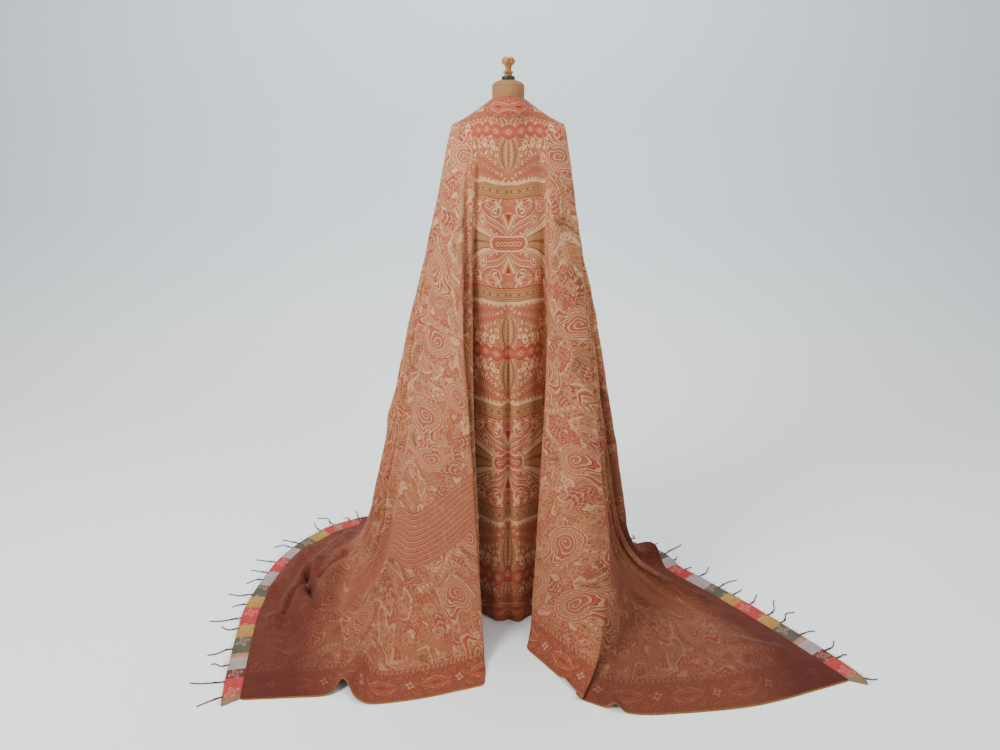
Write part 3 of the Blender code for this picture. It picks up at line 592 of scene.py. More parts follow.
cloth[:, :, 2] = np.maximum(cloth[:, :, 2], 0)
normal = outward_of(cloth)
print("largest crease or ripple", round(float(np.abs(move).max()) * 1000, 1), "mm")

# %% [markdown]
# ## The stretches of cloth
#
# The sheet is cut into the stretches that the eye sees: the back panel, the two falls, their pleats, the
# sides with their trains and the open fronts. Neighbours share their border points and their shading
# directions, so no seam shows. Each is a thin closed shell.

# %% One closed shell for each stretch
Stretch = namedtuple("Stretch", "name side first_fold nodes")
STRETCHES = [Stretch(*row) for row in (
    ("cloth_left_front", -1, "front edge", ["shawl_left_front"]),
    ("cloth_left_side", -1, "end back", ["shawl_left_side", "shawl_left_train"]),
    ("cloth_left_fall", -1, "near side", ["shawl_left_fall", "shawl_left_pleat"]),
    ("cloth_back_panel", -1, "panel side", ["shawl_back_panel"]),
    ("cloth_right_fall", 1, "pleat", ["shawl_right_pleat", "shawl_right_fall"]),
    ("cloth_right_side", 1, "under fold", ["shawl_right_side", "shawl_right_train"]),
    ("cloth_right_front", 1, "side ridge", ["shawl_right_side_fold", "shawl_right_front"]),
)]


def shell(name, inner, directions, flat_points, thickness):
    """A closed shell on a grid of points, shaded by the directions, with the flat cloth as its UV map."""
    columns, rows = inner.shape[:2]
    outer = inner + directions * thickness
    points = np.concatenate([outer.reshape(-1, 3), inner.reshape(-1, 3)])
    points[:, 2] = np.maximum(points[:, 2], 0)
    count = columns * rows
    index = np.arange(count).reshape(columns, rows)
    faces = np.stack([index[:-1, :-1], index[:-1, 1:], index[1:, 1:], index[1:, :-1]], axis=-1).reshape(-1, 4)
    rim = np.concatenate([index[:-1, 0], index[-1, :-1], index[:0:-1, -1], index[0, :0:-1]])
    ahead = np.roll(rim, -1)
    rim_faces = np.stack([rim, ahead, ahead + count, rim + count], axis=-1)
    whole = np.concatenate([faces, faces[:, ::-1] + count, rim_faces])
    mesh = bpy.data.meshes.new(name)
    mesh.from_pydata(points.tolist(), [], whole.tolist())
    uv = mesh.uv_layers.new(name="flat cloth")
    flat_list = np.tile(flat_points.reshape(-1, 2), (2, 1))
    uv.data.foreach_set("uv", flat_list[whole.ravel()].astype(np.float32).ravel())
    mesh.shade_smooth()
    shading = np.concatenate([directions.reshape(-1, 3), -directions.reshape(-1, 3)])[whole.ravel()]
    shading[faces.size * 2:] = 0
    mesh.normals_split_custom_set(shading.tolist())
    return placed(name, mesh)


def cut_of(flat_points):
    """The width, the length and the area of a stretch on the flat cloth."""
    length = np.linalg.norm(np.diff(flat_points, axis=1), axis=2).sum(axis=1).max()
    width = np.linalg.norm(np.diff(flat_points, axis=0), axis=2).sum(axis=0).max()
    one = flat_points[1:, 1:] - flat_points[:-1, :-1]
    two = flat_points[1:, :-1] - flat_points[:-1, 1:]
    area = np.abs(one[:, :, 0] * two[:, :, 1] - one[:, :, 1] * two[:, :, 0]).sum() / 2
    return float(width), float(length), float(area)


borders = [column_of(stretch.first_fold, stretch.side) for stretch in STRETCHES] + [len(cloth) - 1]
cloth_pieces = {}
cuts = {}
for stretch, first, last in zip(STRETCHES, borders, borders[1:]):
    window = slice(first, last + 1)
    piece = shell(stretch.name, cloth[window], normal[window], flat[window], WALL)
    cloth_pieces[stretch.name] = piece
    cuts[stretch.name] = cut = cut_of(flat[window])
    print(stretch.name, len(piece.data.polygons), "faces, flat", [round(value, 3) for value in cut])
print("flat area of all stretches", round(sum(cut[2] for cut in cuts.values()), 3), "m2")

# %% [markdown]
# ## One motif at a time
#
# Old madder, weld and indigo wools have faded to rose, ochre and olive over a cream warp. The names in `WOOL`
# are all the colours that the pattern uses.
#
# A boteh, the paisley drop, is a round head with a tail that bends away to one side. In polar coordinates
# that is a circle whose radius swells in one direction, and the swelling turns with the distance from the
# centre. Rings of that distance give its outlines, and adding the turn to the rings winds them into a spiral.
# All motifs of a group share the same rings: at each thread only the nearest one counts.

# %% The motifs of the middle panel, and the nearest of a group
Motif = namedtuple("Motif", "x y size aspect turn tail bend coils", defaults=(0, 0, 0))
CURLS = (
    (0.044, 0.232, 0.0170, 1.00, 118, 1.7, 1.5, 1.5),
    (0.092, 0.262, 0.0200, 1.00, 205, 1.5, -1.5, 1.7),
    (0.128, 0.222, 0.0180, 1.20, 95, 1.3, 1.4, 1.6),
    (0.060, 0.288, 0.0110, 1.20, 30, 1.4, 1.2, 1.4),
    (0.150, 0.075, 0.0200, 1.20, 60, 1.2, -1.2, 1.6),
)
DROPS = (
    (0.056, 0.038, 0.0135, 1.00, 60, 1.4, 0.8),
    (0.092, 0.036, 0.0135, 1.00, 56, 1.4, 0.8),
    (0.128, 0.036, 0.0135, 1.00, 52, 1.4, 0.8),
    (0.164, 0.036, 0.0135, 1.00, 50, 1.4, 0.8),
)
PALM_LEAVES = ((0.088, 0.092, 0.088, 0.15, -16), (0.094, 0.120, 0.086, 0.21, -8))
BOTEH = "radius / (1 + max(cos(turn - radius * bend), 0) ** 4 * tail)"
LEAF = "abs(y - x * x * 0.4) / max(1 - x * x, 0.002)"


def nearest(look, rows, reach, other=None):
    """Sets distance to the nearest motif's reach, 1 at its outline, and other to that motif's other value."""
    place = look.add("ShaderNodeCombineXYZ", {0: look.known["u"], 1: look.known["t"]}).outputs[0]
    for i, motif in enumerate(Motif(*row) for row in rows):
        spot = {"Vector": place, "Location": (motif.x, motif.y, 0),
                "Rotation": (0, 0, math.radians(motif.turn)),
                "Scale": (motif.size, motif.size * motif.aspect, 1)}
        own = look.add("ShaderNodeMapping", spot, vector_type="TEXTURE").outputs[0]
        split = look.add("ShaderNodeSeparateXYZ", {0: own}).outputs
        radius = look.add("ShaderNodeVectorMath", {0: own}, operation="LENGTH").outputs["Value"]
        look.let(x=split[0], y=split[1], radius=radius, turn="angle(y, x)", tail=motif.tail, bend=motif.bend,
                 coils=motif.coils, reach=reach, new=other or 0)
        if i:
            look.let(closer="below(reach, distance)", other="other + (new - other) * closer" if other else 0,
                     distance="min(reach, distance)")
        else:
            look.let(distance="reach", other="new")


# %% [markdown]
# ## The paisley layout
#
# The weave is mirrored about the centre back, and mirrored again at rows 0.32 m apart: a scalloped line and
# an oval medallion take turns down the middle. So the whole middle is drawn once, in a cell from a scalloped
# row to a medallion. Away from the middle, botehs, leaves and small flowers are strewn over fine stems, each
# turned its own way, with dotted ribbons winding between them. All lengths in the formulas are in metres.

# %% The middle panel
HALF_REPEAT = 0.32
FIELD_FROM = 0.172
END_BORDER = 0.22
OVAL_PITCH = 0.155
SELVEDGE = 0.004


def middle_of(look):
    """The middle panel's colour, from a scalloped row at t = 0 to a medallion at HALF_REPEAT."""
    # a ground of small leaves and stems
    look.let(stems="sin(u * 150 + sin(t * 118) * 2.2) + sin(t * 135 + sin(u * 128) * 2.2)")
    look.colour = look.bands("stems * 0.25 + 0.5",
                             "cream 0.07 olive 0.12 tan 0.40 olive 0.43 rose 0.70 red 0.73 tan 0.92 cream")

    # below the stripe, angled lines run out from the medallion through a rose ground
    look.over("above(t, 0.191) * above(u * 0.62 + t, 0.262)",
              "rose 0.30 red 0.35 cream 0.46 olive 0.50 tan 0.66 rose 0.80 cream 0.88 red 0.92 tan",
              "frac((u * 0.62 + t) * 26 + sin(u * 60) * 0.16)")

    # two feathered leaves that spread from the middle, over a toothed cream strip
    nearest(look, PALM_LEAVES, LEAF, "frac(x * 9 - abs(y) * 2.2)")
    look.over("below(distance, 1)",
              "olive 0.12 rose 0.34 terracotta 0.46 tan 0.56 rose 0.82 red 0.90 cream 1.0 olive",
              "distance + other * 0.30")

    # scrolls
    nearest(look, CURLS, BOTEH, "reach * coils + turn * 0.159155")
    look.over("below(distance, 1)", look.mixed(
        look.bands("frac(other)", "cream 0.42 red 0.52 rose 0.84 olive 0.93 cream"),
        "above(distance, 0.80)", "cream", "above(distance, 0.93)", "red"))

    # the row of small botehs beside the scallops: a dotted round head with a bent tail
    nearest(look, DROPS, BOTEH)
    look.over("below(distance, 1.02)", "red 0.20 cream 0.62 rose 0.70 cream 0.86 red", "distance")

    # the palmette on the centre line: a pointed oval with an olive halo
    look.let(palm="u / (sin(min(max((t - 0.006) / 0.115, 0), 1) * 3.1416) ** 0.85 * 0.034 + 0.0004)",
             feather="palm + abs(sin(t * 260)) * 0.10")
    look.over("below(feather, 1.08) * below(t, 0.121)",
              "rose 0.07 olive 0.12 tan 0.30 cream 0.38 rose 0.44 tan 0.58 olive 0.76 tan 0.90 olive 1 cream",
              "feather")

    # the doubled scalloped line, its rosy filling and the lozenges in it
    look.let(scallop="t - 0.006 - abs(cos(u * 75)) ** 0.6 * 0.013",
             lozenge="t / 0.011 + abs(frac(u * 23.87 + 0.5) - 0.5) * 2.9")
    look.over("below(scallop, 0.0045)", "tan")
    look.over("below(scallop, 0)", "rose")
    look.over("below(lozenge, 0.86)", "red 0.18 tan 0.52 cream 0.72 red", "lozenge")
    look.over("below(abs(scallop), 0.0018) + below(abs(scallop + 0.0056), 0.0009)", "red")

    # the funnel above the medallion, the medallion's wedge-shaped rays and the medallion
    look.let(half=HALF_REPEAT, funnel="u - (0.300 - t) * 0.42", away="half - t", ray="away / (u + 0.004)",
             oval="root(max(u - 0.036, 0) ** 2 + away ** 2) / 0.0255")
    look.over("below(funnel, 0) * above(t, 0.236) * below(t, 0.3)",
              "red 0.30 tan 0.55 cream 0.80 olive 0.92 cream", "funnel * 40 + 1")
    look.over("above(u, 0.03) * below(ray, 0.48)",
              "olive 0.03 tan 0.20 olive 0.235 cream 0.38 red 0.41 cream 0.46 olive", "ray")
    look.over("below(oval, 1)", "olive 0.12 cream 0.18 tan 0.34 red 0.42 rose 0.66 red 0.73 cream 0.97 red",
              "oval + above(sin(u * 520), 0) * 0.07")

    # the toothed cream strip, the ribbed stripe and the dark red line on its other side
    look.over("above(t, 0.138 + abs(sin(u * 190)) * 0.008) * below(t, 0.154)", "cream")
    look.let(stripe="(t - 0.154) / 0.040")
    look.over("above(stripe, 0) * below(stripe, 1)", look.mixed(
        look.bands("stripe", "olive 0.05 tan 0.14 olive 0.18 tan 0.30 olive 0.35 tan 0.60 olive 0.65 tan"
                             " 0.78 olive 0.83 tan 0.93 red"),
        "below(abs(stripe - 0.47), 0.09) * above(sin(u * 230), 0.55) * 0.7", "dark"))
    return look.colour


# %% The strewn field
LEAF_SIZES = ((0.098, 0.34, 0.46), (0.150, 0.28, 0.44))
BOTEH_SIZES = ((0.072, 0.20, 0.7, 1.2, 7), (0.190, 0.262, 1.05, 3.4, 20))


def scatter(look, x, pitch, chance):
    """Strews points. Sets a and b, the way from the nearest in pitches, turned at random, and its dice."""
    look.let(pitch=pitch)
    links = {0: look.get(x + " / pitch"), 1: look.get("y / pitch")}
    place = look.add("ShaderNodeCombineXYZ", links).outputs[0]
    cells = look.add("ShaderNodeTexVoronoi", {"Vector": place, "Scale": 1.0, "Randomness": chance},
                     voronoi_dimensions="2D").outputs
    away = look.add("ShaderNodeVectorMath", {0: place, 1: cells["Position"]}, operation="SUBTRACT").outputs[0]
    dice = look.add("ShaderNodeSeparateColor", {0: cells["Color"]}).outputs
    look.let(dice=dice[0], first=dice[1], second=dice[2])
    turned = look.add("ShaderNodeVectorRotate", {"Vector": away, "Angle": look.get("dice * 6.2832")},
                      rotation_type="Z_AXIS").outputs[0]
    split = look.add("ShaderNodeSeparateXYZ", {0: turned}).outputs
    look.let(a=split[0], b=split[1])


def field_of(look):
    """The field's colour: strewn botehs and leaves over fine stems, with ribbons winding between them."""
    look.let(x="u + sin(v * 8 + u * 3) * 0.022",
             y="v + sin(u * 7 + 0.6) * 0.030 + sin(u * 17 + v * 5) * 0.006",
             stems="sin(x * 260 + sin(y * 150) * 2.6) + sin(y * 240 + sin(x * 140) * 2.6)")
    place = look.add("ShaderNodeCombineXYZ", {0: look.known["x"], 1: look.known["y"]}).outputs[0]
    look.let(patch=look.noise(9.0, 1.0, at=place, Distortion=1.1))
    look.colour = look.bands("patch", "olive 0.32 tan 0.42 cream 0.475 rose 0.54 tan 0.60 rose 0.66 cream")
    for mask, colour in (
            ("(below(abs(patch - 0.475), 0.005) + below(abs(patch - 0.60), 0.005)) * 0.7", "red"),
            ("(below(abs(patch - 0.462), 0.004) + below(abs(patch - 0.613), 0.004)) * 0.8", "cream"),
            ("below(abs(stems - 0.2), 0.24) * 0.55", "cream"),
            ("above(stems, 1.50) * 0.55", "red"),
            ("below(stems, -1.35) * 0.60", "olive")):
        look.over(mask, colour)

    # leaves with side veins
    for pitch, slim, size in LEAF_SIZES:
        scatter(look, "(x + pitch * 3)", pitch, 0.6)
        look.let(slim=slim, size=size, along="a / size",
                 leaf="abs(b / (size * slim) - along * along * 0.5) / max(1 - along * along, 0.002)")
        look.over("below(leaf, 1)", look.mixed(
            look.bands("leaf + frac(along * 3.6 - abs(b) * 12) * 0.28",
                       "cream 0.14 red 0.26 rose 0.48 cream 0.60 terracotta 0.94 cream 1.0 olive"),
            "above(second, 0.5) * 0.6", "tan"))

    # winding ribbons, ribbed and dotted
    look.let(wave="sin(x * 9 + 1) * 0.060 + sin(x * 23) * 0.008",
             ribbon="abs(fold(y + wave, 0.23) - 0.11) / 0.0125")
    look.over("below(ribbon, 1) * above(sin(x * 5 + y * 8), -0.35)", look.mixed(
        look.bands("ribbon", "cream 0.42 red 0.52 tan 0.70 cream 0.86 red"),
        "above(sin(x * 420), 0.4) * below(ribbon, 0.26) * 0.8", "red"))

    # small flowers and large botehs
    look.let(bend=0.8)
    for pitch, size, tail, coils, petals in BOTEH_SIZES:
        scatter(look, "x", pitch, 0.45)
        look.let(size=size, tail=tail, coils=coils, petals=petals, turn="angle(b, a)",
                 radius="root(a * a + b * b) / (size * (0.80 + first * 0.35))", reach=BOTEH,
                 petal="sin(turn * petals)")
        look.over("below(reach, 1) * above(second, 0.16)", look.mixed(
            look.bands("reach + petal * 0.018", "tan 0.50 red 0.53 cream 0.585 rose 0.655 cream 0.69 olive"
                                                " 0.72 tan 0.82 cream 0.87 red 0.90 rose 0.95 cream"),
            "above(petal, 0.3) * below(abs(reach - 0.77), 0.035) * 0.8", "cream",
            "below(reach, 0.51)", look.bands("frac(reach * coils * 1.5 + turn * 0.159155)",
                                             "cream 0.24 red 0.36 rose 0.70 olive 0.80 tan")))
    return look.colour


# %% The border
def border_of(look):
    """The border's colour: pointed ovals with small flowers between them, over a comb line."""
    look.let(pitch=OVAL_PITCH, run="(frac(u / pitch + 0.27) - 0.5) * pitch",
             oval="abs(inset - 0.050) / (0.021 * max(1 - (run / 0.048) ** 2, 0.01))",
             stems="sin(u * 190 + sin(inset * 170) * 2) + sin(inset * 180 + sin(u * 150) * 2)",
             x="(frac(u / pitch + 0.77) - 0.5) * pitch", turn="angle(inset - 0.050, x)",
             flower="root(x * x + (inset - 0.050) ** 2) / (0.011 + sin(turn * 4) * 0.004)")
    look.colour = look.bands("stems * 0.25 + 0.5", "tan 0.14 terracotta 0.56 rose 0.78 terracotta 0.92 red")
    look.over("below(oval, 1) * 0.75", "red 0.12 tan 0.24 rose 0.62 terracotta 0.72 cream 0.94 red",
              "oval + below(abs(run), 0.012) * -0.2")
    look.over("below(flower, 1)", "red 0.35 cream 0.9 olive", "flower")
    look.over("below(abs(inset - 0.013), 0.0014) + below(abs(inset - 0.086), 0.0016)", "olive")
    look.over("below(abs(inset - 0.097), 0.005) * above(sin(u * 420 + inset * 300), 0.1) * 0.45", "cream")
    return look.colour


# %% The cloth's material
def paisley_wool():
    """Fine wool twill, woven to pattern: dull and a little hairy, so rough, with a soft sheen at edges."""
    look = Look("paisley wool twill", "flat cloth")
    look.let(across="x", down="y", slub=look.noise(60.0, 3.0), u="abs(across + (slub - 0.5) * 0.004)",
             v="down + (slub - 0.5) * 0.004", half=HALF_REPEAT,
             t="fold(v + 0.535 - max(v - 0.75, 0) ** 2 * 0.15 - max(0.3 - v, 0) * 0.05, half)",
             start=FIELD_FROM, edge="start - sin(t * 40) * 0.012 - sin(t * 95) * 0.004")
    look.colour = look.mixed(middle_of(look), "above(u, edge)", field_of(look),
                             "below(abs(u - edge), 0.0014) * 0.8", "red")

    # woven stripes that sweep across the left fall's lower part, and down beside each end
    look.let(sweep="v - 1.16 - (u - 1) * 0.16 + sin(u * 11) * 0.012", beside="u - 1.36 + sin(v * 4) * 0.05",
             side="max(-across, across - 0.33)")
    for line, half, shown in (("sweep", 0.070, "above(side, 0.60) * below(u, 1.45)"),
                              ("beside", 0.050, "above(v, 0.3) * below(v, 1.0)")):
        look.let(line=line, half=half)
        look.over(f"below(abs(line), half) * {shown} * 0.8",
                  "terracotta 0.34 cream 0.48 red 0.56 rose 0.84 tan", "frac(line / 0.0135)")

    # the border along both long edges, narrower at the neck
    look.let(width=WIDTH, inset="min(v * 1.2, width - v)")
    look.colour = look.mixed(look.colour, "below(inset, 0.104)", border_of(look))

    # painted shade: paler above, darker towards the hem and darker still on the trains that lie on the floor
    # behind the falls; the ends turn maroon, their own colour
    look.let(worn=look.noise(2.6, 4.0))
    # low is painted shade that grows from v = 0.35 towards the hem, its edge made uneven by the patchy noise
    look.let(low=look.span("v + worn * 0.3", 0.35, 1.75))
    # less painted shade on the middle panel; right and left mark the trains beside and behind the falls, and
    # their sum is the painted shade there
    look.let(low="low * min(0.5 + u, 1)", right=look.span("across", 0.955, 1.05),
             left=look.span("-across", 1.05, 1.52), trailing="right + left * 0.75", selvedge=SELVEDGE,
             end=look.span("u + worn * 0.10", SHEET_END - END_BORDER - 0.03, SHEET_END - END_BORDER + 0.12),
             streak=look.noise(1.0, at=look.stretched((500, 30, 1))))
    # a faint terracotta tint everywhere, and more terracotta as painted shade towards the hem and on the
    # trains
    look.over("0.10 + low * 0.34 + trailing * 0.26", "terracotta")
    look.over("end * 0.78", "maroon")
    look.over("below(width - v, selvedge) * 0.8", "ochre")
    # yarn streaks and patchy tone vary the value; painted shade darkens it towards the hem and on the trains
    look.fade("0.80 + streak * 0.26 + worn * 0.22 - low * 0.28 - trailing * 0.28")
    print("paisley wool:", len(look.tree.nodes), "nodes")

    # twill: diagonal ribs 1.6 mm apart, coarser than the real 0.6 mm so that a close view shows them
    finish = {"Roughness": 0.88, "Specular IOR Level": 0.15, "Sheen Weight": 0.04, "Sheen Roughness": 0.5}
    return look.done(finish, "sin((u + down) * 3927) * 0.5 + sin(u * 2300) * 0.2", 0.12, 0.0005)


wool = paisley_wool()
for piece in cloth_pieces.values():
    piece.data.materials.append(wool)

# %% [markdown]
# ## The ends
#
# Each end of the shawl is finished with a strip of blocks in plain dyed colours, each with a small flower
# shape woven over it, and past it the warp is knotted into dark tassels. Many have worn away. The strip
# follows the sheet's end on the floor. The tassels are strands twisted round each other.

# %% The edge of the sheet's end and the strip beyond it
GAP = 0.0003
BAND_SMOOTHING = 60
BAND_STEPS = 8
STRIP_LIFT = 0.004
STRIP_HEIGHT = 0.0001
LIFT_ALONG = 16
LIFT_ACROSS = 30
LIFT_FROM_EDGE = 0.02
BLOCK_REPEAT = 0.9
FLOWER_PITCH = 0.0675
STRIP_BLOCKS = ("#8F7454 0.022 #BE4540 0.092 #6E3B33 0.130 #A99C99 0.185 #A88158 0.205 #5F5B4C 0.285 #B2883F"
                " 0.345 #BE4540 0.440 #B2883F 0.500 #5F5B4C 0.570 #A99C99 0.650 #BE4540 0.740 #A99C99"
                " 0.810 #5F5B4C 0.890 #B2883F 0.960 #BE4540")


def end_edge(side):
    """The sheet's fringed end on the floor, from the hem corner to the front, and its outward direction."""
    first = column_of("corner", side) + 2
    edge = cloth[first:, -1] if side > 0 else cloth[first::-1, -1]
    edge = edge[np.concatenate([[True], np.linalg.norm(np.diff(edge, axis=0), axis=1) > 1e-5])]
    along = np.gradient(edge, axis=0)
    outward = unit(np.stack([along[:, 1], -along[:, 0], 0 * along[:, 0]], axis=1) * side)
    for i in range(BAND_SMOOTHING):
        outward[1:-1] = (outward[:-2] + 2 * outward[1:-1] + outward[2:]) / 4
    return edge, unit(outward)


def end_strip(name, side):
    """The strip of blocks as a thin shell on the floor, with a few soft lifts."""
    edge, outward = end_edge(side)
    widths = np.linspace(0, BAND, BAND_STEPS + 1)
    run = run_along(edge)
    grid = edge[:, None] + outward[:, None] * widths[None, :, None]
    wave = noise_at(*np.meshgrid(run * LIFT_ALONG, widths * LIFT_ACROSS, indexing="ij"), side * 5)
    grid[:, :, 2] = np.maximum(wave, 0) * np.minimum(widths / LIFT_FROM_EDGE, 1) * STRIP_LIFT + STRIP_HEIGHT
    flat_points = np.stack(np.broadcast_arrays(SHEET_END + widths[None, :], run[:, None]), axis=-1)
    if side < 0:
        grid, flat_points = grid[::-1], flat_points[::-1]
    return shell(name, grid, np.zeros_like(grid) + (0, 0, 1), flat_points, WALL)


def harlequin_wool():
    """Plain dyed wool blocks with a small flower woven over each, the whole strip darkened to between half
    and nine tenths of its colour by patchy noise.
    """
    look = Look("harlequin wool strip", "flat cloth")
    look.let(across="x", along="y", repeat=BLOCK_REPEAT, pitch=FLOWER_PITCH, middle=SHEET_END + BAND / 2)
    look.colour = look.bands("frac(along / repeat)", STRIP_BLOCKS)
    look.let(x="(frac(along / pitch) - 0.5) * pitch", y="across - middle", turn="angle(y, x)",
             radius="root(x * x + y * y) / (0.013 + sin(turn * 4) * 0.005)", worn=look.noise(45.0, 3.0))
    look.over("(below(abs(radius - 1), 0.16) + below(abs(radius - 0.45), 0.12)) * 0.45", "#D9A08C")
    look.fade("0.50 + worn * 0.40")
    return look.done({"Roughness": 0.9, "Specular IOR Level": 0.2},
                     "sin(along * 3927) * sin(across * 3927)", 0.2, 0.0005)


strip_wool = harlequin_wool()
strips = {}
for side, word in SIDES:
    strips[side] = end_strip(f"end_strip_{word}", side)
    strips[side].data.materials.append(strip_wool)

# %% Knotted tassels
TASSEL_SPACING = 0.064
TASSEL_LENGTH = 0.075
TASSEL_HEIGHT = 0.0022
TASSEL_SWAY = 0.024
TASSEL_CURL = 0.014
ROOT_TUCK = 0.004
FRINGE_SEED = 7
STRANDS = 3
STRAND_RADIUS = 0.0011
STRAND_SIDES = 6
STRAND_RINGS = 16
TWISTS = 4.5
KNOT_AT = 0.30
KNOT_LENGTH = 0.05
KNOT_RADIUS = 0.0009
CLEARANCE = 0.0002


def fringe_wool():
    """Twisted wool yarn, dark grey-green with some brown strands, dull and hairy."""
    look = Look("dark fringe yarn")
    look.let(patch=look.noise(9.0), hair=look.noise(900.0))
    look.colour = look.bands("patch", "#2F2B26 0.5 #4A3A30 0.60 #35342B")
    return look.done({"Roughness": 0.92, "Specular IOR Level": 0.2}, "hair", 0.4, 0.0006)


def tassel_path(root, out, across, dice):
    """A curling line on the floor from the strip's rim outwards."""
    length = TASSEL_LENGTH * dice.uniform(0.35, 1.45)
    sway = dice.uniform(-TASSEL_SWAY, TASSEL_SWAY)
    curl = dice.uniform(-TASSEL_CURL, TASSEL_CURL)
    turns = dice.uniform(0.6, 1.3)
    path = []
    for i in range(STRAND_RINGS + 1):
        share = i / STRAND_RINGS
        point = root + out * (length * share - ROOT_TUCK)
        point += across * (sway * share * share + curl * math.sin(2 * math.pi * turns * share) * share)
        point.z = TASSEL_HEIGHT
        path.append(point)
    return path


def add_tassel(shape, path):
    """Strands that twist round the path, thick at the knot near the root and thin at the tip."""
    up = Vector((0, 0, 1))
    for strand in range(STRANDS):
        rings = []
        for i, middle in enumerate(path):
            share = i / STRAND_RINGS
            ahead = (path[min(i + 1, STRAND_RINGS)] - path[max(i - 1, 0)]).normalized()
            wide = Vector((-ahead.y, ahead.x, 0))
            phase = 2 * math.pi * (strand / STRANDS + TWISTS * share)
            knot = KNOT_RADIUS * math.exp(-((share - KNOT_AT) / KNOT_LENGTH) ** 2)
            offset = STRAND_RADIUS + knot + 0.0016 * max(share - 0.75, 0)
            centre = middle + wide * offset * math.cos(phase) + up * offset * math.sin(phase)
            radius = (STRAND_RADIUS + knot) * (1 - 0.45 * share)
            centre.z = max(centre.z, radius + CLEARANCE)
            turns = [2 * math.pi * k / STRAND_SIDES for k in range(STRAND_SIDES)]
            rings.append([centre + (wide * math.cos(turn) + up * math.sin(turn)) * radius for turn in turns])
        add_tube(shape, rings)


yarn = fringe_wool()
fringes = {}
rims = {}
for side, word in SIDES:
    dice = np.random.default_rng(FRINGE_SEED + side)
    edge, outward = end_edge(side)
    rim = edge + outward * (BAND + GAP)
    run = run_along(rim)
    rims[side] = (rim, outward)
    count = int(run[-1] / TASSEL_SPACING)
    places = (np.arange(count) + 0.5 + dice.uniform(-0.32, 0.32, count)) * run[-1] / count
    half = len(places) // 2
    for group, some in (("near", places[:half]), ("far", places[half:])):
        shape = bmesh.new()
        for place in some:
            root = Vector(at_run(place, run, rim))
            out = Vector(at_run(place, run, outward)).normalized()
            add_tassel(shape, tassel_path(root, out, Vector((-out.y, out.x, 0)), dice))
        bmesh.ops.recalc_face_normals(shape, faces=shape.faces)
        mesh = mesh_from(shape, f"tassels_{word}_{group}")
        mesh.materials.append(yarn)
        fringes[side, group] = placed(mesh.name, mesh)
    print("tassels", word, count)

# %% [markdown]
# ## Frayed threads
#
# Between the tassels the strip's edge has worn into short loose threads. They repeat by the hundred along a
# line, which is what Geometry Nodes do best: the tree spaces points along the rim, puts a thread on each,
# turns it outwards with a random slant, and makes the result real.

# %% A tree that sets threads along an edge
THREAD_INPUTS = (("Spacing", "NodeSocketFloat", 0.0045), ("Length", "NodeSocketFloat", 0.016),
                 ("Radius", "NodeSocketFloat", 0.00035), ("Seed", "NodeSocketInt", 3))
THREAD_HEIGHT = 0.0014
THREAD_CLEARANCE = 0.0003


def fray_tree(material):
    """Geometry nodes that set short loose threads along a line."""
    tree = bpy.data.node_groups.new("threads along a rim", "GeometryNodeTree")
    tree.interface.new_socket("Geometry", in_out="INPUT", socket_type="NodeSocketGeometry")
    for name, kind, value in THREAD_INPUTS:
        tree.interface.new_socket(name, in_out="INPUT", socket_type=kind).default_value = value
    tree.interface.new_socket("Geometry", in_out="OUTPUT", socket_type="NodeSocketGeometry")
    given = add(tree, "NodeGroupInput").outputs
    curve = add(tree, "GeometryNodeMeshToCurve", {"Mesh": given["Geometry"]}).outputs[0]
    spots = add(tree, "GeometryNodeResampleCurve", {"Curve": curve, "Length": given["Spacing"]},
                mode="LENGTH").outputs[0]
    thread = add(tree, "GeometryNodeMeshCone",
                 {"Vertices": 5, "Side Segments": 3, "Radius Top": 0.0001, "Radius Bottom": given["Radius"],
                  "Depth": given["Length"]}).outputs[0]
    out = add(tree, "GeometryNodeInputNamedAttribute", {"Name": "outward"},
              data_type="FLOAT_VECTOR").outputs[0]
    slant = add(tree, "FunctionNodeRandomValue",
                {"Min": (-0.9, -0.9, 0), "Max": (0.9, 0.9, 0.06), "Seed": given["Seed"]},
                data_type="FLOAT_VECTOR").outputs[0]
    aim = add(tree, "ShaderNodeVectorMath", {0: out, 1: slant}, operation="ADD").outputs[0]
    turn = add(tree, "FunctionNodeAlignRotationToVector", {"Vector": aim}, axis="Z").outputs[0]
    size = add(tree, "FunctionNodeRandomValue", {"Min": 0.35, "Max": 1.25, "Seed": given["Seed"]},
               data_type="FLOAT").outputs[1]
    threads = add(tree, "GeometryNodeInstanceOnPoints",
                  {"Points": spots, "Instance": thread, "Rotation": turn, "Scale": size}).outputs[0]
    real = add(tree, "GeometryNodeRealizeInstances", {"Geometry": threads}).outputs[0]
    painted = add(tree, "GeometryNodeSetMaterial", {"Geometry": real, "Material": material}).outputs[0]
    tree.links.new(painted, add(tree, "NodeGroupOutput").inputs[0])
    return tree


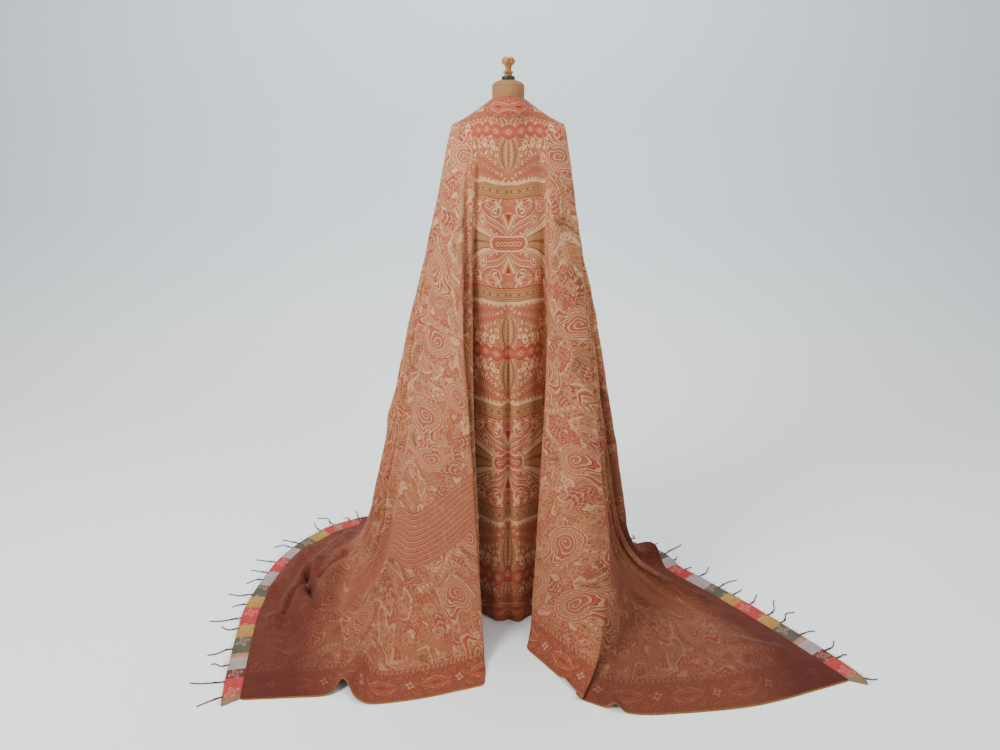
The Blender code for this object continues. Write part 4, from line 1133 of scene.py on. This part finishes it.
frays = fray_tree(Look("loose warp threads").done({"Base Color": from_hex("#8A6F58"), "Roughness": 0.9}))
seed = next(item.identifier for item in frays.interface.items_tree if item.name == "Seed")
threads = {}
for side, word in SIDES:
    rim, outward = rims[side]
    mesh = bpy.data.meshes.new(f"rim_{word}")
    mesh.from_pydata((rim + (0, 0, THREAD_HEIGHT)).tolist(), [(i, i + 1) for i in range(len(rim) - 1)], [])
    facing = mesh.attributes.new("outward", "FLOAT_VECTOR", "POINT")
    facing.data.foreach_set("vector", outward.astype(np.float32).ravel())
    carrier = placed(f"threads_{word}", mesh)
    modifier = carrier.modifiers.new("threads", "NODES")
    modifier.node_group = frays
    modifier[seed] = 3 + side
    made = bpy.data.meshes.new_from_object(carrier.evaluated_get(bpy.context.evaluated_depsgraph_get()))
    made.name = carrier.name
    carrier.modifiers.clear()
    carrier.data = made
    lifted = np.empty(len(made.vertices) * 3)
    made.vertices.foreach_get("co", lifted)
    lifted[2::3] = np.maximum(lifted[2::3], THREAD_CLEARANCE)
    made.vertices.foreach_set("co", lifted)
    threads[side] = carrier
    print("threads", word, len(made.polygons), "faces")

# %% [markdown]
# ## The dress form
#
# The form is padding under a tight linen cover, on a turned and blackened iron stand, with a turned wooden
# finial over a black disc. Only the neck, the disc and the finial show from behind. The body is a loft
# through oval sections, and the turned pieces are profiles spun round their axis.

# %% The padded body and its linen
BODY_SIDES = 64
SHARP_FROM = math.radians(50)
# height, half width, back, front
FORM_SECTIONS = (
    (0.8, 0.16, -0.09, 0.1), (0.88, 0.165, -0.095, 0.105), (1, 0.15, -0.085, 0.1),
    (1.12, 0.115, -0.065, 0.085), (1.25, 0.14, -0.085, 0.115), (1.33, 0.15, -0.09, 0.118),
    (1.415, 0.155, -0.088, 0.095), (1.47, 0.152, -0.068, 0.076), (1.5, 0.148, -0.045, 0.054),
    (1.522, 0.14, -0.032, 0.043), (1.537, 0.119, -0.029, 0.045), (1.557, 0.083, -0.029, 0.052),
    (1.575, 0.056, -0.032, 0.056), (1.588, 0.0465, -0.0345, 0.0585), (1.63, 0.0465, -0.0345, 0.0585),
    (1.64, 0.041, -0.029, 0.053), (1.646, 0.031, -0.019, 0.043), (1.649, 0.0195, -0.0075, 0.0315),
)


def smooth_rows(rows, steps):
    """Rows of numbers with steps more between each pair, on a Catmull-Rom curve through them."""
    table = np.array(rows, dtype=float)
    padded = np.concatenate([table[:1], table, table[-1:]])
    made = []
    for a, b, c, d in zip(padded, padded[1:], padded[2:], padded[3:]):
        for t in (k / steps for k in range(steps)):
            made.append(0.5 * (2 * b + (c - a) * t + (2 * a - 5 * b + 4 * c - d) * t * t
                               + (3 * b - a - 3 * c + d) * t ** 3))
    return np.array(made + [table[-1]])


def lofted(name, sections, sides, material):
    """A closed piece through ovals, bottom to top. A section is height, half width, back and front."""
    turns = np.linspace(0, 2 * math.pi, sides, endpoint=False)
    rings = [[(half_width * math.cos(turn), (front + back) / 2 + (front - back) / 2 * math.sin(turn), height)
              for turn in turns] for height, half_width, back, front in sections]
    shape = bmesh.new()
    add_tube(shape, rings)
    mesh = mesh_from(shape, name)
    mesh.set_sharp_from_angle(angle=SHARP_FROM)
    mesh.materials.append(material)
    return placed(name, mesh)


def tan_linen():
    """Plain-woven linen, tight over padding: dull, slubby, stained, and darker on the dome at its top."""
    look = Look("tan linen cover")
    look.let(slub=look.noise(260.0, 3.0), stain=look.noise(14.0, 4.0), middle=NECK_Y,
             turn="angle(y - middle, x)")
    look.colour = look.mixed("#A87A50", "min(max(stain * 1.4 - 0.45 + (slub - 0.5) * 0.5, 0), 1)", "#81522A",
                             "min(max((z - 1.628) / 0.010, 0), 1) * 0.45", "#6E4A28")
    # threads 1 mm apart round and up, coarser than the real 0.5 mm so that they show
    return look.done({"Roughness": 0.8, "Specular IOR Level": 0.3},
                     "sin(z * 6283) * sin(turn * 300)", 0.25, 0.0004)


body = lofted("dress_body", smooth_rows(FORM_SECTIONS, 4), BODY_SIDES, tan_linen())

# %% Turned pieces, with profiles of radius and height from the top down
POLE_Y = 0.025
POLE_RADIUS = 0.014
TURNED_SIDES = 64
CAP_PROFILE = ((0, 1.659), (0.018, 1.659), (0.0192, 1.6575), (0.0192, 1.6503), (0.0185, 1.6493), (0, 1.6493))
FINIAL_PROFILE = (
    (0, 1.716), (0.008, 1.7145), (0.015, 1.71), (0.0188, 1.704), (0.0195, 1.699), (0.0175, 1.6935),
    (0.0118, 1.689), (0.0098, 1.6845), (0.0088, 1.68), (0.01, 1.6745), (0.0142, 1.6715), (0.0142, 1.6685),
    (0.011, 1.665), (0.011, 1.6593), (0, 1.6593))
POLE_PROFILE = ((0, 0.7997), (0.03, 0.7997), (0.03, 0.785), (POLE_RADIUS, 0.775), (POLE_RADIUS, 0.04),
                (0.024, 0.033), (0.024, 0.0243), (0, 0.0243))
BASE_PROFILE = ((0, 0.024), (0.05, 0.0225), (0.09, 0.018), (0.112, 0.013), (0.122, 0.008), (0.122, 0), (0, 0))
THINNEST = 0.0001


def turned(name, profile, y, material):
    """A turned piece: the profile spun round its axis."""
    rows = np.array(profile, dtype=float)[::-1]
    sections = [(height, radius, y - radius, y + radius) for radius, height in
                zip(np.maximum(rows[:, 0], THINNEST), rows[:, 1])]
    return lofted(name, sections, TURNED_SIDES, material)


def turned_wood():
    """Beech turned on a lathe, stained honey brown and polished: grain up the piece under a thin varnish."""
    look = Look("turned and stained beech")
    look.let(grain=look.noise(1.0, 4.0, at=look.stretched((160, 160, 22))))
    look.colour = look.mixed("#B8762E", "min(max(grain * 2.2 - 0.7, 0), 1)", "#6E3512")
    return look.done({"Roughness": 0.35, "Coat Weight": 0.4, "Coat Roughness": 0.15})


def worn_finish(name, dark, light, roughness, metallic):
    """A dark finish with paler worn patches, for the disc under the finial and for the iron stand."""
    look = Look(name)
    look.let(patch=look.noise(60.0, 4.0))
    look.colour = look.mixed(dark, "min(max(patch * 3 - 1.5, 0), 1)", light)
    return look.done({"Roughness": roughness, "Metallic": metallic})


leather = worn_finish("blackened leather disc", "#2A1C16", "#4A3326", 0.5, 0.0)
iron = worn_finish("black japanned iron", "#17171A", "#3A3430", 0.45, 1.0)
cap = turned("neck_disc", CAP_PROFILE, NECK_Y, leather)
finial = turned("turned_finial", smooth_rows(FINIAL_PROFILE, 4), NECK_Y, turned_wood())
pole = turned("iron_pole", POLE_PROFILE, POLE_Y, iron)
base = turned("iron_base", BASE_PROFILE, POLE_Y, iron)

# %% Riding and replacing
WITH_SIDE = {"cloth_right_side": 1, "cloth_left_side": -1}
for stretch in STRETCHES:
    piece = cloth_pieces[stretch.name]
    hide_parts(*stretch.nodes)
    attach(piece, "root")
for side, word in SIDES:
    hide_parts(f"band_{word}")
    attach(strips[side], "root")
    for group in ("near", "far"):
        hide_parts(f"fringe_{word}_{group}")
        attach(fringes[side, group], "root")
    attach(threads[side], "root")
for stretch in STRETCHES:
    side = WITH_SIDE.get(stretch.name)
for piece, node, finish in ((body, "form_body", "tan linen"), (cap, "form_cap", "black cap"),
                            (finial, "form_finial", "turned wood"), (pole, "form_pole", "black iron"),
                            (base, "form_base", "black iron")):
    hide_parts(node)
    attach(piece, "root")

# %% [markdown]
# ## The studio
#
# A pale seamless sweep with no line between floor and wall, a large soft light on the left of the camera, a
# weaker one on the right and a wide one above.

# %% Sweep, lights and camera
SWEEP_FRONT, SWEEP_BACK = -5.0, 3.2
SWEEP_RADIUS = 1.6
SWEEP_HEIGHT = 6.0
SWEEP_HALF_WIDTH = 8.0
SWEEP_STEPS = 24
# name, place, aim, size, power
LIGHTS = (
    ("key", (-2.7, -2.2, 3.1), (0.0, 0.0, 0.8), 1.5, 185),
    ("fill", (3.0, -3.0, 2.2), (0.1, 0.0, 0.6), 2.4, 72),
    ("top", (0.2, 0.4, 4.4), (0.0, 0.0, 0.0), 2.6, 70),
    ("backdrop", (0.0, 1.0, 4.6), (0.0, 3.2, 1.4), 3.0, 110),
)
ROOM_LIGHT = 0.50
CAMERA_PLACE = (-0.02367, -2.1996, 1.5369)
CAMERA_PITCH = 11.662
SENSOR = 36
LENS = 27.036
SHIFT = -0.1


def paper_sweep():
    """Seamless background paper, matt and pale blue-grey, clear from behind; painted light makes it lighter
    on the floor than up the wall.
    """
    look = Look("pale background paper")
    # painted light: near white on the floor, blending up the curve into the blue-grey wall
    look.colour = look.mixed("#F0F1F1", "min(max(z / 0.9, 0), 1)", "#D6E2E6")
    behind = look.add("ShaderNodeNewGeometry").outputs["Backfacing"]
    clear = look.add("ShaderNodeBsdfTransparent").outputs[0]
    seen = look.add("ShaderNodeMixShader", {0: behind, 1: look.shader.outputs[0], 2: clear}).outputs[0]
    look.tree.links.new(seen, look.tree.nodes["Material Output"].inputs["Surface"])
    return look.done({"Roughness": 0.95, "Specular IOR Level": 0.1})


profile = [(SWEEP_FRONT, 0.0)]
for turn in np.linspace(0, math.pi / 2, SWEEP_STEPS + 1):
    profile.append((SWEEP_BACK + SWEEP_RADIUS * (math.sin(turn) - 1), SWEEP_RADIUS * (1 - math.cos(turn))))
profile.append((SWEEP_BACK, SWEEP_HEIGHT))
mesh = bpy.data.meshes.new("sweep")
mesh.from_pydata([(x, y, z) for y, z in profile for x in (-SWEEP_HALF_WIDTH, SWEEP_HALF_WIDTH)], [],
                 [(2 * i, 2 * i + 1, 2 * i + 3, 2 * i + 2) for i in range(len(profile) - 1)])
mesh.shade_smooth()
mesh.materials.append(paper_sweep())
sweep = placed("sweep", mesh)

for name, place, aim, size, power in LIGHTS:
    lamp = bpy.data.lights.new(name, "AREA")
    lamp.size = size
    lamp.energy = power
    holder = placed(name, lamp)
    holder.location = place
    holder.rotation_euler = (Vector(aim) - Vector(place)).to_track_quat("-Z", "Y").to_euler()

world = bpy.data.worlds.new("soft room")
world.use_nodes = True
room = world.node_tree.nodes["Background"].inputs
room["Color"].default_value = from_hex("#DCE4EA")
room["Strength"].default_value = ROOM_LIGHT
scene.world = world

lens = bpy.data.cameras.new("camera")
lens.lens = LENS
lens.sensor_width = SENSOR
lens.shift_y = SHIFT
camera = placed("camera", lens)
camera.location = CAMERA_PLACE
camera.rotation_euler = (math.radians(90 - CAMERA_PITCH), 0, 0)
scene.camera = camera
